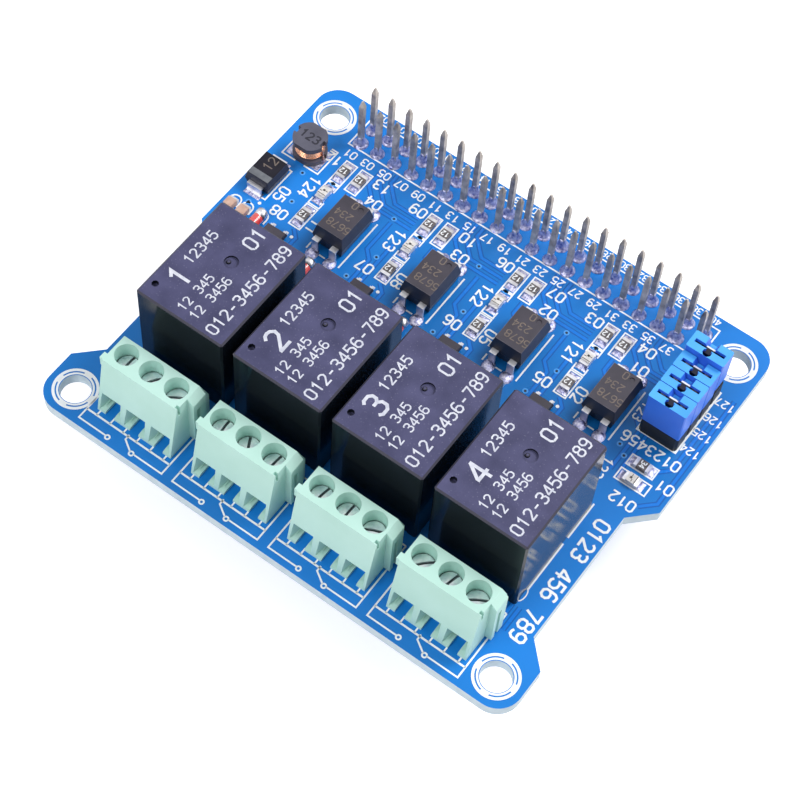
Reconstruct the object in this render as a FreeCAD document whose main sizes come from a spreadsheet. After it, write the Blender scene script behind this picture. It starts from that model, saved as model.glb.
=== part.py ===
import FreeCAD, Part
import os
import Sketcher
from FreeCAD import Placement, Rotation, Vector

# Relay module board: four relays with their screw terminals on a plug-on board.
# The origin is the centre of the four mounting holes, on the board's underside.
# X runs along the pin header, Y towards it, and Z up, out of the side with the parts.

os.makedirs("parts", exist_ok=True)
doc = FreeCAD.newDocument("relay_module_board")
sheet = doc.addObject("Spreadsheet::Sheet", "sizes")


class Size:
    """A length in millimetres, with the sheet expression that drives it."""

    def __init__(self, value, text):
        self.value = value
        self.text = text

    def join(self, other, sign, value):
        other_text = other.text if isinstance(other, Size) else str(other)
        return Size(value, f"({self.text} {sign} {other_text})")

    def __add__(self, other):
        return self.join(other, "+", self.value + number(other))

    def __sub__(self, other):
        return self.join(other, "-", self.value - number(other))

    def __mul__(self, other):
        return self.join(other, "*", self.value * number(other))

    def __truediv__(self, other):
        return self.join(other, "/", self.value / number(other))

    def __neg__(self):
        return Size(-self.value, f"(0 - {self.text})")


def number(length):
    """The plain value of a Size or of a bare number."""
    return length.value if isinstance(length, Size) else length


def size(name, value):
    """Write one driving dimension into the next row of the sheet."""
    row = len(names) + 1
    names.append(name)
    sheet.set(f"A{row}", name)
    sheet.set(f"B{row}", str(value))
    sheet.setAlias(f"B{row}", name)
    return Size(value, f"sizes.{name}")


names = []
zero = Size(0, "0")

# Circuit board
board_thick = size("board_thick", 1.6)
board_corner = size("board_corner", 3.0)
notch_deep = size("notch_deep", 2.85)
notch_rear = size("notch_rear", 0.3)
ear_wide = size("ear_wide", 9.65)
notch_slope = size("notch_slope", 2.9)
mount_wide = size("mount_wide", 49.0)
mount_hole = size("mount_hole", 3.7)
mount_beside_header = size("mount_beside_header", 3.6)
mount_edge = size("mount_edge", 3.45)
header_edge = size("header_edge", 4.35)
solder_gap = size("solder_gap", 0.05)

# Pin header with its socket under the board
header_ways = size("header_ways", 20)
header_rows = size("header_rows", 2)
pin_apart = size("pin_apart", 2.54)
pin_square = size("pin_square", 0.64)
pin_above = size("pin_above", 8.2)
pin_point = size("pin_point", 0.9)
pin_end_square = size("pin_end_square", 0.22)
socket_wide = size("socket_wide", 5.0)
socket_tall = size("socket_tall", 8.5)
socket_slot = size("socket_slot", 0.9)
contact_leaf = size("contact_leaf", 0.16)
contact_tall = size("contact_tall", 1.5)
contact_long = size("contact_long", 5.0)

# Relays
relay_count = size("relay_count", 4)
relay_wide = size("relay_wide", 11.9)
relay_gap = size("relay_gap", 1.4)
relay_long = size("relay_long", 15.2)
relay_tall = size("relay_tall", 13.3)
relay_front = size("relay_front", 16.45)
relay_foot_tall = size("relay_foot_tall", 0.25)
relay_foot_square = size("relay_foot_square", 1.1)
relay_edge = size("relay_edge", 0.22)
dimple_width = size("dimple_width", 1.7)
dimple_deep = size("dimple_deep", 0.3)
dimple_back = size("dimple_back", 1.7)
vent_width = size("vent_width", 0.8)
vent_deep = size("vent_deep", 0.6)
vent_side = size("vent_side", 1.15)
vent_front = size("vent_front", 2.0)
relay_pin_wide = size("relay_pin_wide", 1.0)
relay_pin_thick = size("relay_pin_thick", 0.5)
relay_pin_below = size("relay_pin_below", 1.7)
coil_pin_apart = size("coil_pin_apart", 8.0)
coil_pin_back = size("coil_pin_back", 5.6)
common_pin_back = size("common_pin_back", 1.2)
contact_pin_front = size("contact_pin_front", 5.8)

# Screw terminals
terminal_count = size("terminal_count", 4)
terminal_gap = size("terminal_gap", 2.9)
way_count = size("way_count", 3)
way_wide = size("way_wide", 3.5)
terminal_front = size("terminal_front", 24.98)
terminal_tall = size("terminal_tall", 8.5)
terminal_deep = size("terminal_deep", 7.05)
terminal_lean = size("terminal_lean", 1.7)
terminal_top_deep = size("terminal_top_deep", 3.85)
terminal_shoulder = size("terminal_shoulder", 4.7)
lip_height = size("lip_height", 3.3)
divider_thick = size("divider_thick", 0.55)
floor_thick = size("floor_thick", 0.3)
funnel_deep = size("funnel_deep", 1.7)
funnel_taper = size("funnel_taper", 13.0)
drain_wide = size("drain_wide", 1.25)
drain_deep = size("drain_deep", 1.95)
well_width = size("well_width", 2.8)
well_deep = size("well_deep", 3.05)
screw_back = size("screw_back", 3.8)
ledge_thick = size("ledge_thick", 0.45)
rail_out = size("rail_out", 0.85)
rail_deep = size("rail_deep", 2.1)
rail_low = size("rail_low", 0.3)
rail_slot_wide = size("rail_slot_wide", 0.6)
rail_slot_front = size("rail_slot_front", 0.55)
rail_slot_tall = size("rail_slot_tall", 6.2)
rail_gap = size("rail_gap", 0.1)
tab_out = size("tab_out", 0.42)
tab_long = size("tab_long", 0.85)
tab_front = size("tab_front", 1.8)
tab_tall = size("tab_tall", 1.5)
key_deep = size("key_deep", 0.4)
key_long = size("key_long", 0.4)

# Clamp screws, rising cages and contacts
head_width = size("head_width", 2.6)
head_tall = size("head_tall", 0.9)
slot_wide = size("slot_wide", 0.42)
slot_deep = size("slot_deep", 0.45)
shank_width = size("shank_width", 2.0)
thread_gap = size("thread_gap", 0.05)
seat_gap = size("seat_gap", 0.05)
cage_wide = size("cage_wide", 2.7)
cage_deep = size("cage_deep", 2.6)
cage_wall = size("cage_wall", 0.3)
cage_floor = size("cage_floor", 0.35)
cage_nut = size("cage_nut", 0.8)
cage_gap = size("cage_gap", 0.12)
cage_low = size("cage_low", 0.1)
bar_wide = size("bar_wide", 1.5)
bar_thick = size("bar_thick", 0.4)
bar_low = size("bar_low", 2.3)
tail_wide = size("tail_wide", 1.0)
tail_below = size("tail_below", 1.7)

# Relay selection jumpers
jumper_ways = size("jumper_ways", 4)
jumper_x = size("jumper_x", 27.17)
jumper_y = size("jumper_y", 15.2)
jumper_base_tall = size("jumper_base_tall", 2.5)
jumper_base_wide = size("jumper_base_wide", 5.0)
base_corner = size("base_corner", 0.35)
jumper_pin_tall = size("jumper_pin_tall", 7.0)
jumper_pin_below = size("jumper_pin_below", 1.7)
cap_wide = size("cap_wide", 4.95)
cap_deep = size("cap_deep", 2.44)
cap_tall = size("cap_tall", 5.15)
cap_lift = size("cap_lift", 0.9)
cap_edge = size("cap_edge", 0.12)
cap_slot_wide = size("cap_slot_wide", 3.9)
cap_slot_deep = size("cap_slot_deep", 0.5)
cap_hole_width = size("cap_hole_width", 1.05)
cap_hole_front = size("cap_hole_front", 0.68)
cap_hole_deep = size("cap_hole_deep", 1.8)
cap_dip_wide = size("cap_dip_wide", 1.5)
cap_dip_deep = size("cap_dip_deep", 0.9)
clip_thick = size("clip_thick", 0.2)
clip_low = size("clip_low", 0.35)
clip_gap = size("clip_gap", 0.03)

# Optocouplers
channel_first = size("channel_first", -23.1)
channel_apart = size("channel_apart", 12.72)
opto_side = size("opto_side", 5.3)
opto_y = size("opto_y", 11.05)
opto_wide = size("opto_wide", 4.4)
opto_long = size("opto_long", 6.3)
opto_draft = size("opto_draft", 0.38)
opto_low = size("opto_low", 0.15)
opto_parting = size("opto_parting", 1.95)
opto_tall = size("opto_tall", 3.65)
opto_mark_width = size("opto_mark_width", 0.7)
opto_mark_deep = size("opto_mark_deep", 0.12)
lead_wide = size("lead_wide", 0.9)
lead_thick = size("lead_thick", 0.25)
lead_out = size("lead_out", 0.75)
lead_foot = size("lead_foot", 0.8)

# Small parts that lie flat on the board
chip_long = size("chip_long", 2.0)
chip_wide = size("chip_wide", 1.2)
chip_tall = size("chip_tall", 0.55)
chip_end = size("chip_end", 0.42)
light_tall = size("light_tall", 0.8)
upper_chip_y = size("upper_chip_y", 18.35)
light_y = size("light_y", 14.3)
lower_chip_y = size("lower_chip_y", 10.25)
chip_side = size("chip_side", 2.35)
lone_chip_x = size("lone_chip_x", 27.75)
lone_chip_y = size("lone_chip_y", 6.35)
lone_light_y = size("lone_light_y", 4.05)
capacitor_x = size("capacitor_x", -31.0)
capacitor_y = size("capacitor_y", 6.2)
capacitor_apart = size("capacitor_apart", 1.85)
capacitor_tall = size("capacitor_tall", 0.9)
transistor_side = size("transistor_side", -1.0)
transistor_y = size("transistor_y", 5.95)
transistor_long = size("transistor_long", 2.9)
transistor_wide = size("transistor_wide", 1.3)
transistor_tall = size("transistor_tall", 1.0)
transistor_lead = size("transistor_lead", 0.42)
transistor_lead_apart = size("transistor_lead_apart", 1.9)
transistor_span = size("transistor_span", 2.4)
transistor_leaf = size("transistor_leaf", 0.15)
glass_width = size("glass_width", 1.4)
glass_long = size("glass_long", 3.5)
glass_first = size("glass_first", -18.2)
glass_apart = size("glass_apart", 13.5)
glass_y = size("glass_y", 3.6)
glass_lone_x = size("glass_lone_x", -26.95)
glass_lone_y = size("glass_lone_y", 5.75)

# Supply parts: choke and power diode
choke_x = size("choke_x", -28.2)
choke_y = size("choke_y", 18.35)
choke_width = size("choke_width", 4.3)
choke_flat = size("choke_flat", 3.9)
choke_tall = size("choke_tall", 3.2)
choke_flange = size("choke_flange", 0.75)
choke_hub = size("choke_hub", 2.0)
choke_notch = size("choke_notch", 0.45)
winding_width = size("winding_width", 3.7)
winding_gap = size("winding_gap", 0.02)
diode_x = size("diode_x", -29.9)
diode_y = size("diode_y", 12.05)
diode_wide = size("diode_wide", 3.5)
diode_long = size("diode_long", 4.2)
diode_tall = size("diode_tall", 2.25)
diode_low = size("diode_low", 0.1)
diode_draft = size("diode_draft", 0.22)
diode_lead_wide = size("diode_lead_wide", 2.1)
diode_lead_out = size("diode_lead_out", 0.55)
diode_lead_thick = size("diode_lead_thick", 0.22)

doc.recompute()

# Sizes that follow from those above
top = board_thick
header_long = pin_apart * header_ways
header_middle = mount_wide / 2
mount_long = header_long + mount_beside_header * 2
half_long = mount_long / 2 + mount_edge
board_rear = header_middle + header_edge
board_front = mount_wide / 2 + mount_edge
notch_front = board_front - ear_wide
relay_apart = relay_wide + relay_gap
terminal_wide = way_wide * way_count
terminal_apart = terminal_wide + terminal_gap
close_enough = 1e-6
OCTAGON_CORNER = 2 ** 0.5 - 1


# Helpers for bodies, sketches and features

def count(length):
    """A number of copies as a whole number."""
    return int(length.value)


def along(first, pitch, index):
    """The place of one copy in a row."""
    return first + pitch * index


def row_start(pitch, copies):
    """The first place of a row that is centred on the origin."""
    return -(pitch * (copies - 1) / 2)


def new_body(label, x=zero, y=zero, z=zero, turn=0.0):
    """A body with its own label, placed by the sheet and turned about Z by a fixed angle."""
    body = doc.addObject("PartDesign::Body", label)
    body.Label = label
    body.Placement = Placement(Vector(x.value, y.value, z.value), Rotation(Vector(0, 0, 1), turn))
    for axis, length in zip("xyz", (x, y, z)):
        body.setExpression(f"Placement.Base.{axis}", length.text)
    return body


def origin_feature(body, role):
    """One of the body's own origin planes or axes."""
    for feature in body.Origin.OriginFeatures:
        if feature.Role == role:
            return feature
    raise ValueError(role)


def sketch_on(body, role, offset=zero):
    """A sketch on an origin plane, moved along the plane's normal.

    The normals are +Z for XY_Plane, -Y for XZ_Plane and +X for YZ_Plane.
    """
    sketch = body.newObject("Sketcher::SketchObject", body.Label + "_sketch")
    sketch.AttachmentSupport = (origin_feature(body, role), [""])
    sketch.MapMode = "FlatFace"
    sketch.AttachmentOffset = Placement(Vector(0, 0, offset.value), Rotation())
    sketch.setExpression("AttachmentOffset.Base.z", offset.text)
    return sketch


def pin_down(sketch, geometry, point, place):
    """Tie a point of the sketch to the origin by two driven distances."""
    for kind, length in zip(("DistanceX", "DistanceY"), place):
        index = sketch.addConstraint(
            Sketcher.Constraint(kind, -1, 1, geometry, point, number(length)))
        if isinstance(length, Size):
            sketch.setExpression(f"Constraints[{index}]", length.text)


def outline(sketch, corners):
    """A closed outline of straight lines through the corners."""
    points = [Vector(number(a), number(b), 0) for a, b in corners]
    lines = []
    for index, start in enumerate(points):
        end = points[(index + 1) % len(points)]
        lines.append(sketch.addGeometry(Part.LineSegment(start, end), False))
    for index, line in enumerate(lines):
        following = lines[(index + 1) % len(lines)]
        sketch.addConstraint(Sketcher.Constraint("Coincident", line, 2, following, 1))
    for line, corner in zip(lines, corners):
        pin_down(sketch, line, 1, corner)


def block(sketch, middle, wide, deep):
    """A rectangle about a middle point."""
    x, y = middle
    outline(sketch, [
        (x - wide / 2, y - deep / 2), (x + wide / 2, y - deep / 2),
        (x + wide / 2, y + deep / 2), (x - wide / 2, y + deep / 2)])


def disc(sketch, middle, width):
    """A circle about a middle point, with its radius driven."""
    centre = Vector(number(middle[0]), number(middle[1]), 0)
    circle = sketch.addGeometry(Part.Circle(centre, Vector(0, 0, 1), width.value / 2), False)
    pin_down(sketch, circle, 3, middle)
    index = sketch.addConstraint(Sketcher.Constraint("Radius", circle, width.value / 2))
    sketch.setExpression(f"Constraints[{index}]", (width / 2).text)


def octagon(sketch, middle, width):
    """An eight-sided outline, for a small round hole that needs no finer mesh."""
    x, y = middle
    flat = width / 2
    corner = flat * OCTAGON_CORNER
    outline(sketch, [
        (x + flat, y - corner), (x + flat, y + corner), (x + corner, y + flat),
        (x - corner, y + flat), (x - flat, y + corner), (x - flat, y - corner),
        (x - corner, y - flat), (x + corner, y - flat)])


def feature_volume(body):
    """The body's volume once everything so far is built."""
    doc.recompute()
    return body.Shape.Volume if body.Tip else 0.0


def pad(body, sketch, length, back=False, middle=False):
    """Add material along the sketch's normal, against it, or to both sides."""
    feature = body.newObject("PartDesign::Pad", body.Label + "_pad")
    feature.Profile = sketch
    feature.Length = length.value
    feature.setExpression("Length", length.text)
    feature.Reversed = back
    if middle:
        feature.SideType = "Symmetric"
    return feature


def cut(body, sketch, length, back=False, taper=None):
    """Take material away against the sketch's normal, or along it when back is set."""
    before = feature_volume(body)
    feature = body.newObject("PartDesign::Pocket", body.Label + "_cut")
    feature.Profile = sketch
    feature.Length = length.value
    feature.setExpression("Length", length.text)
    feature.Reversed = back
    if taper is not None:
        feature.TaperAngle = -taper.value
        feature.setExpression("TaperAngle", (-taper).text)
    if feature_volume(body) >= before:
        raise ValueError(f"{body.Label}: a pocket took nothing away")
    return feature


def revolve(body, sketch, role="Z_Axis"):
    """Turn a half section once about one of the body's axes."""
    feature = body.newObject("PartDesign::Revolution", body.Label + "_turned")
    feature.Profile = sketch
    feature.ReferenceAxis = (origin_feature(body, role), [""])
    feature.Angle = 360.0
    return feature


def leaning_block(body, middle, low, high, lower, upper):
    """A block whose sides lean evenly from its lower rectangle to its upper one."""
    feature = body.newObject("PartDesign::AdditiveWedge", body.Label + "_block")
    feature.AttachmentSupport = (origin_feature(body, "XY_Plane"), [""])
    feature.MapMode = "FlatFace"
    place = (middle[0], middle[1], low)
    feature.AttachmentOffset = Placement(
        Vector(*[length.value for length in place]), Rotation(Vector(1, 0, 0), 90))
    for axis, length in zip("xyz", place):
        feature.setExpression(f"AttachmentOffset.Base.{axis}", length.text)
    spans = {
        "Xmin": -(lower[0] / 2), "Xmax": lower[0] / 2, "Zmin": -(lower[1] / 2),
        "Zmax": lower[1] / 2, "Ymin": zero, "Ymax": high - low,
        "X2min": -(upper[0] / 2), "X2max": upper[0] / 2, "Z2min": -(upper[1] / 2),
        "Z2max": upper[1] / 2}
    for span, length in spans.items():
        setattr(feature, span, length.value)
        feature.setExpression(span, length.text)
    return feature


def moulded_block(body, wide, deep, low, parting, high, draft):
    """A moulded package: widest at its parting line, with draft above and below it."""
    waist_size = (wide, deep)
    end_size = (wide - draft * 2, deep - draft * 2)
    return [
        leaning_block(body, (zero, zero), low, parting, end_size, waist_size),
        leaning_block(body, (zero, zero), parting, high, waist_size, end_size)]


def repeat(body, role, apart, copies, features=None):
    """Copy some features, or the whole of the body so far, in a row at a driven spacing."""
    doc.recompute()
    feature = body.newObject("PartDesign::LinearPattern", body.Label + "_row")
    if features:
        feature.Originals = features
    else:
        feature.TransformMode = "Whole shape"
    feature.Direction = (origin_feature(body, role), [""])
    feature.Mode = "Spacing"
    feature.Offset = apart.value
    feature.setExpression("Offset", apart.text)
    feature.Occurrences = count(copies)
    body.Tip = feature
    return feature


def edges_where(body, test):
    """Names of the body's present edges that pass a test."""
    doc.recompute()
    return [f"Edge{index + 1}" for index, edge in enumerate(body.Shape.Edges) if test(edge)]


def bevel(body, amount, test, kind="Chamfer"):
    """Chamfer or round the edges that pass a test, given in the body's own frame."""
    chosen = edges_where(body, test)
    if not chosen:
        raise ValueError(f"{body.Label}: no edge to finish")
    solid = body.Tip
    feature = body.newObject(f"PartDesign::{kind}", body.Label + "_edges")
    feature.Base = (solid, chosen)
    parameter = "Radius" if kind == "Fillet" else "Size"
    setattr(feature, parameter, amount.value)
    feature.setExpression(parameter, amount.text)
    return feature


def local_box(body, edge):
    """An edge's box in the body's own frame."""
    shape = edge.copy()
    shape.transformShape(body.Placement.inverse().toMatrix())
    return shape.BoundBox


def is_upright(box):
    """Whether an edge's box is a vertical line."""
    return box.XLength < close_enough and box.YLength < close_enough and box.ZLength > close_enough


def is_level_at(box, height):
    """Whether an edge's box lies flat at a height."""
    return abs(box.ZMin - height) < close_enough and abs(box.ZMax - height) < close_enough


subparts = []


def keep(piece):
    """Count a finished piece among those that are written out."""
    subparts.append(piece)
    return piece


# Circuit board: routed outline with a waist on each side, mounting holes and drilled rows
board = new_body("circuit_board")
waist = half_long - notch_deep
outline_sketch = sketch_on(board, "XY_Plane")
outline(outline_sketch, [
    (-half_long, -board_front), (half_long, -board_front),
    (half_long, -(notch_front + notch_slope)), (waist, -notch_front),
    (waist, -notch_rear), (half_long, notch_slope - notch_rear),
    (half_long, board_rear), (-half_long, board_rear),
    (-half_long, notch_slope - notch_rear), (-waist, -notch_rear),
    (-waist, -notch_front), (-half_long, -(notch_front + notch_slope))])
pad(board, outline_sketch, board_thick)


def is_board_corner(edge):
    """Whether an edge is one of the board's four outer corners."""
    box = local_box(board, edge)
    at_end = abs(box.YMin - board_rear.value) < close_enough or abs(box.YMin + board_front.value) < close_enough
    return is_upright(box) and at_end


bevel(board, board_corner, is_board_corner, "Fillet")

mount_sketch = sketch_on(board, "XY_Plane", board_thick)
for side in (-1, 1):
    for end in (-1, 1):
        disc(mount_sketch, (mount_long / 2 * side, mount_wide / 2 * end), mount_hole)
cut(board, mount_sketch, board_thick)


def pin_passage(sketch, middle, wide, thick):
    """A plated hole that solder has closed up to the pin in it, with a small gap all round."""
    block(sketch, middle, wide + solder_gap * 2, thick + solder_gap * 2)


header_first = row_start(pin_apart, header_ways)
row_places = [along(row_start(pin_apart, header_rows), pin_apart, row)
              for row in range(count(header_rows))]
header_drill = sketch_on(board, "XY_Plane", board_thick)
for row_place in row_places:
    pin_passage(header_drill, (header_first, header_middle + row_place), pin_square, pin_square)
header_holes = cut(board, header_drill, board_thick)
repeat(board, "X_Axis", pin_apart, header_ways, [header_holes])

relay_first = row_start(relay_apart, relay_count)
relay_middle = relay_long / 2 - relay_front
relay_pin_places = [
    (coil_pin_apart / 2, coil_pin_back), (-coil_pin_apart / 2, coil_pin_back),
    (zero, common_pin_back),
    (coil_pin_apart / 2, -contact_pin_front), (-coil_pin_apart / 2, -contact_pin_front)]
relay_drill = sketch_on(board, "XY_Plane", board_thick)
for across, back in relay_pin_places:
    pin_passage(relay_drill, (relay_first + across, relay_middle + back), relay_pin_wide,
                relay_pin_thick)
relay_holes = cut(board, relay_drill, board_thick)
repeat(board, "X_Axis", relay_apart, relay_count, [relay_holes])

terminal_first = row_start(terminal_apart, terminal_count) - terminal_wide / 2
tail_back = screw_back + cage_deep / 2 + cage_gap + bar_thick / 2
tail_y = tail_back - terminal_front
tail_drill = sketch_on(board, "XY_Plane", board_thick)
for way in range(count(way_count)):
    pin_passage(tail_drill, (terminal_first + way_wide * (way + 0.5), tail_y), tail_wide,
                bar_thick)
tail_holes = cut(board, tail_drill, board_thick)
repeat(board, "X_Axis", terminal_apart, terminal_count, [tail_holes])

jumper_first = jumper_y + row_start(pin_apart, jumper_ways)
jumper_drill = sketch_on(board, "XY_Plane", board_thick)
for row_place in row_places:
    pin_passage(jumper_drill, (jumper_x + row_place, jumper_first), pin_square, pin_square)
jumper_holes = cut(board, jumper_drill, board_thick)
repeat(board, "Y_Axis", pin_apart, jumper_ways, [jumper_holes])
keep(board)


# Header: square pins with points, which end in a spring leaf inside the socket
pins = new_body("header_pins", header_first, header_middle, zero)
shaft_top = top + pin_above - pin_point
for row_place in row_places:
    shaft_sketch = sketch_on(pins, "XY_Plane", -contact_tall)
    block(shaft_sketch, (zero, row_place), pin_square, pin_square)
    pad(pins, shaft_sketch, contact_tall + shaft_top)
    leaning_block(pins, (zero, row_place), shaft_top, top + pin_above,
                  (pin_square, pin_square), (pin_end_square, pin_end_square))
    leaf_sketch = sketch_on(pins, "XY_Plane", -contact_tall)
    leaf_place = row_place + (pin_square - contact_leaf) / 2
    block(leaf_sketch, (zero, leaf_place), pin_square, contact_leaf)
    pad(pins, leaf_sketch, contact_long, back=True)
repeat(pins, "X_Axis", pin_apart, header_ways)
keep(pins)

socket = new_body("header_socket", zero, header_middle, zero)
socket_block = sketch_on(socket, "XY_Plane")
block(socket_block, (zero, zero), header_long, socket_wide)
pad(socket, socket_block, socket_tall, back=True)
slot_sketch = sketch_on(socket, "XY_Plane")
for row_place in row_places:
    block(slot_sketch, (header_first, row_place), socket_slot, socket_slot)
slots = cut(socket, slot_sketch, socket_tall)
repeat(socket, "X_Axis", pin_apart, header_ways, [slots])
keep(socket)


# Relays: sealed cases with a gate dimple, a vent and four low feet
def make_relay(index):
    """One relay case, drawn about the middle of its underside."""
    place = along(relay_first, relay_apart, index)
    case = new_body(f"relay_{index + 1}", place, relay_middle, top)
    case_sketch = sketch_on(case, "XY_Plane", relay_foot_tall)
    block(case_sketch, (zero, zero), relay_wide, relay_long)
    pad(case, case_sketch, relay_tall)
    crown = relay_foot_tall + relay_tall
    foot_sketch = sketch_on(case, "XY_Plane", relay_foot_tall)
    foot_x = (relay_wide - relay_foot_square) / 2
    foot_y = (relay_long - relay_foot_square) / 2
    for side in (-1, 1):
        for end in (-1, 1):
            block(foot_sketch, (foot_x * side, foot_y * end), relay_foot_square,
                  relay_foot_square)
    pad(case, foot_sketch, relay_foot_tall, back=True)
    bevel(case, relay_edge, lambda edge: is_level_at(local_box(case, edge), crown.value)
          or is_tall_corner(local_box(case, edge)))
    dimple_sketch = sketch_on(case, "XY_Plane", crown)
    disc(dimple_sketch, (zero, dimple_back), dimple_width)
    cut(case, dimple_sketch, dimple_deep)
    vent_sketch = sketch_on(case, "XY_Plane", crown)
    vent_place = (vent_side - relay_wide / 2, vent_front - relay_long / 2)
    octagon(vent_sketch, vent_place, vent_width)
    cut(case, vent_sketch, vent_deep)
    return keep(case)


def is_tall_corner(box):
    """Whether an edge's box is one of a relay case's four tall corners."""
    return is_upright(box) and box.ZLength > relay_tall.value / 2


for relay in range(count(relay_count)):
    make_relay(relay)

relay_pins = new_body("relay_pins", relay_first, relay_middle, top + relay_foot_tall)
relay_pin_sketch = sketch_on(relay_pins, "XY_Plane")
for across, back in relay_pin_places:
    block(relay_pin_sketch, (across, back), relay_pin_wide, relay_pin_thick)
relay_pin_long = relay_foot_tall + board_thick + relay_pin_below
pad(relay_pins, relay_pin_sketch, relay_pin_long, back=True)
repeat(relay_pins, "X_Axis", relay_apart, relay_count)
keep(relay_pins)


# Screw terminals: moulded housings that lean back, with funnels, wells and joining rails
cavity_front = screw_back - cage_deep / 2 - cage_gap
cavity_rear = tail_back + bar_thick / 2 + cage_gap
cavity_wide = cage_wide + cage_gap * 2
well_floor = terminal_tall - well_deep
cavity_tall = well_floor - ledge_thick
ledge_hole = shank_width + thread_gap * 2


def make_housing(index):
    """One three-way housing, drawn from its left front foot at board level."""
    left = along(terminal_first, terminal_apart, index)
    housing = new_body(f"terminal_housing_{index + 1}", left, -terminal_front, top)
    side_sketch = sketch_on(housing, "YZ_Plane")
    outline(side_sketch, [
        (zero, zero), (terminal_deep, zero), (terminal_deep, terminal_shoulder),
        (terminal_lean + terminal_top_deep, terminal_tall), (terminal_lean, terminal_tall)])
    pad(housing, side_sketch, terminal_wide)
    add_rail(housing)
    add_tab(housing)
    middles = [way_wide * (way + 0.5) for way in range(count(way_count))]

    well_sketch = sketch_on(housing, "XY_Plane", terminal_tall)
    cavity_sketch = sketch_on(housing, "XY_Plane")
    shank_sketch = sketch_on(housing, "XY_Plane", cavity_tall)
    drain_sketch = sketch_on(housing, "XY_Plane")
    for middle in middles:
        disc(well_sketch, (middle, screw_back), well_width)
        block(cavity_sketch, (middle, (cavity_front + cavity_rear) / 2), cavity_wide,
              cavity_rear - cavity_front)
        block(shank_sketch, (middle, screw_back), ledge_hole, ledge_hole)
        block(drain_sketch, (middle, drain_deep / 2), drain_wide, drain_deep)
    cut(housing, well_sketch, well_deep)
    cut(housing, cavity_sketch, cavity_tall, back=True)
    cut(housing, shank_sketch, ledge_thick, back=True)
    cut(housing, drain_sketch, floor_thick + funnel_deep / 2, back=True)

    funnel_sketch = sketch_on(housing, "XZ_Plane")
    bore_sketch = sketch_on(housing, "XZ_Plane")
    funnel_tall = lip_height - floor_thick
    wire_low = cage_low + cage_floor
    wire_tall = bar_low - wire_low
    for middle in middles:
        block(funnel_sketch, (middle, floor_thick + funnel_tall / 2), way_wide - divider_thick,
              funnel_tall)
        block(bore_sketch, (middle, wire_low + wire_tall / 2), cage_wide - cage_wall * 2,
              wire_tall)
    cut(housing, funnel_sketch, funnel_deep, taper=funnel_taper)
    cut(housing, bore_sketch, cavity_front + cage_gap)
    return keep(housing)


def add_rail(housing):
    """The upright rail behind on the right, with the slot that a neighbour's rib slides into,
    and that rib on the left."""
    rear = terminal_lean + terminal_top_deep
    out = terminal_wide + rail_out
    rail_sketch = sketch_on(housing, "XZ_Plane", -rear)
    outline(rail_sketch, [
        (terminal_wide, rail_low), (out, rail_low), (out, terminal_tall - rail_out),
        (terminal_wide, terminal_tall)])
    pad(housing, rail_sketch, rail_deep)
    slot_place = rear - rail_deep + rail_slot_front + rail_slot_wide / 2
    rail_slot_sketch = sketch_on(housing, "XY_Plane")
    block(rail_slot_sketch, (out - rail_out / 2, slot_place), rail_out, rail_slot_wide)
    cut(housing, rail_slot_sketch, rail_slot_tall, back=True)
    rib_sketch = sketch_on(housing, "XY_Plane", rail_low)
    rib_out = rail_out / 2
    block(rib_sketch, (-(rib_out / 2), slot_place), rib_out, rail_slot_wide - rail_gap * 2)
    pad(housing, rib_sketch, rail_slot_tall - rail_low - rail_gap)


def add_tab(housing):
    """The small tab on the left of the crown, and the keyhole for a neighbour's on the right."""
    tab_sketch = sketch_on(housing, "XY_Plane", terminal_tall)
    block(tab_sketch, (-(tab_out / 2), tab_front + tab_long / 2), tab_out, tab_long)
    pad(housing, tab_sketch, tab_tall, back=True)
    key_sketch = sketch_on(housing, "XY_Plane", terminal_tall)
    key_middle = (terminal_wide - key_deep / 2, tab_front + key_long / 2)
    block(key_sketch, key_middle, key_deep, key_long)
    cut(housing, key_sketch, tab_tall)


for terminal in range(count(terminal_count)):
    make_housing(terminal)


# Clamp screws: cheese heads in the wells, with slots left at the angles they were turned to
slot_angles = [
    [92.0, 58.0, 30.0],
    [97.0, 118.0, 88.0],
    [84.0, 90.0, 24.0],
    [47.0, 78.0, 33.0]]
shank_low = bar_low + bar_thick + seat_gap
head_low = well_floor + seat_gap


def make_screw(index, way):
    """One clamp screw, drawn about its axis from board level."""
    left = along(terminal_first, terminal_apart, index) + way_wide * (way + 0.5)
    turn = slot_angles[index % len(slot_angles)][way % len(slot_angles[0])]
    screw = new_body(f"terminal_screw_{index + 1}_{way + 1}", left, screw_back - terminal_front,
                     top, turn)
    half_sketch = sketch_on(screw, "XZ_Plane")
    head_top = head_low + head_tall
    outline(half_sketch, [
        (zero, shank_low), (shank_width / 2, shank_low), (shank_width / 2, head_low),
        (head_width / 2, head_low), (head_width / 2, head_top), (zero, head_top)])
    revolve(screw, half_sketch)
    slot_cut_sketch = sketch_on(screw, "XY_Plane", head_top)
    block(slot_cut_sketch, (zero, zero), head_width * 2, slot_wide)
    cut(screw, slot_cut_sketch, slot_deep)
    return keep(screw)


# Rising cages: square loops whose thick top is the nut that the clamp screw draws up
cage_tall = shank_low - cage_low + cage_nut


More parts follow.
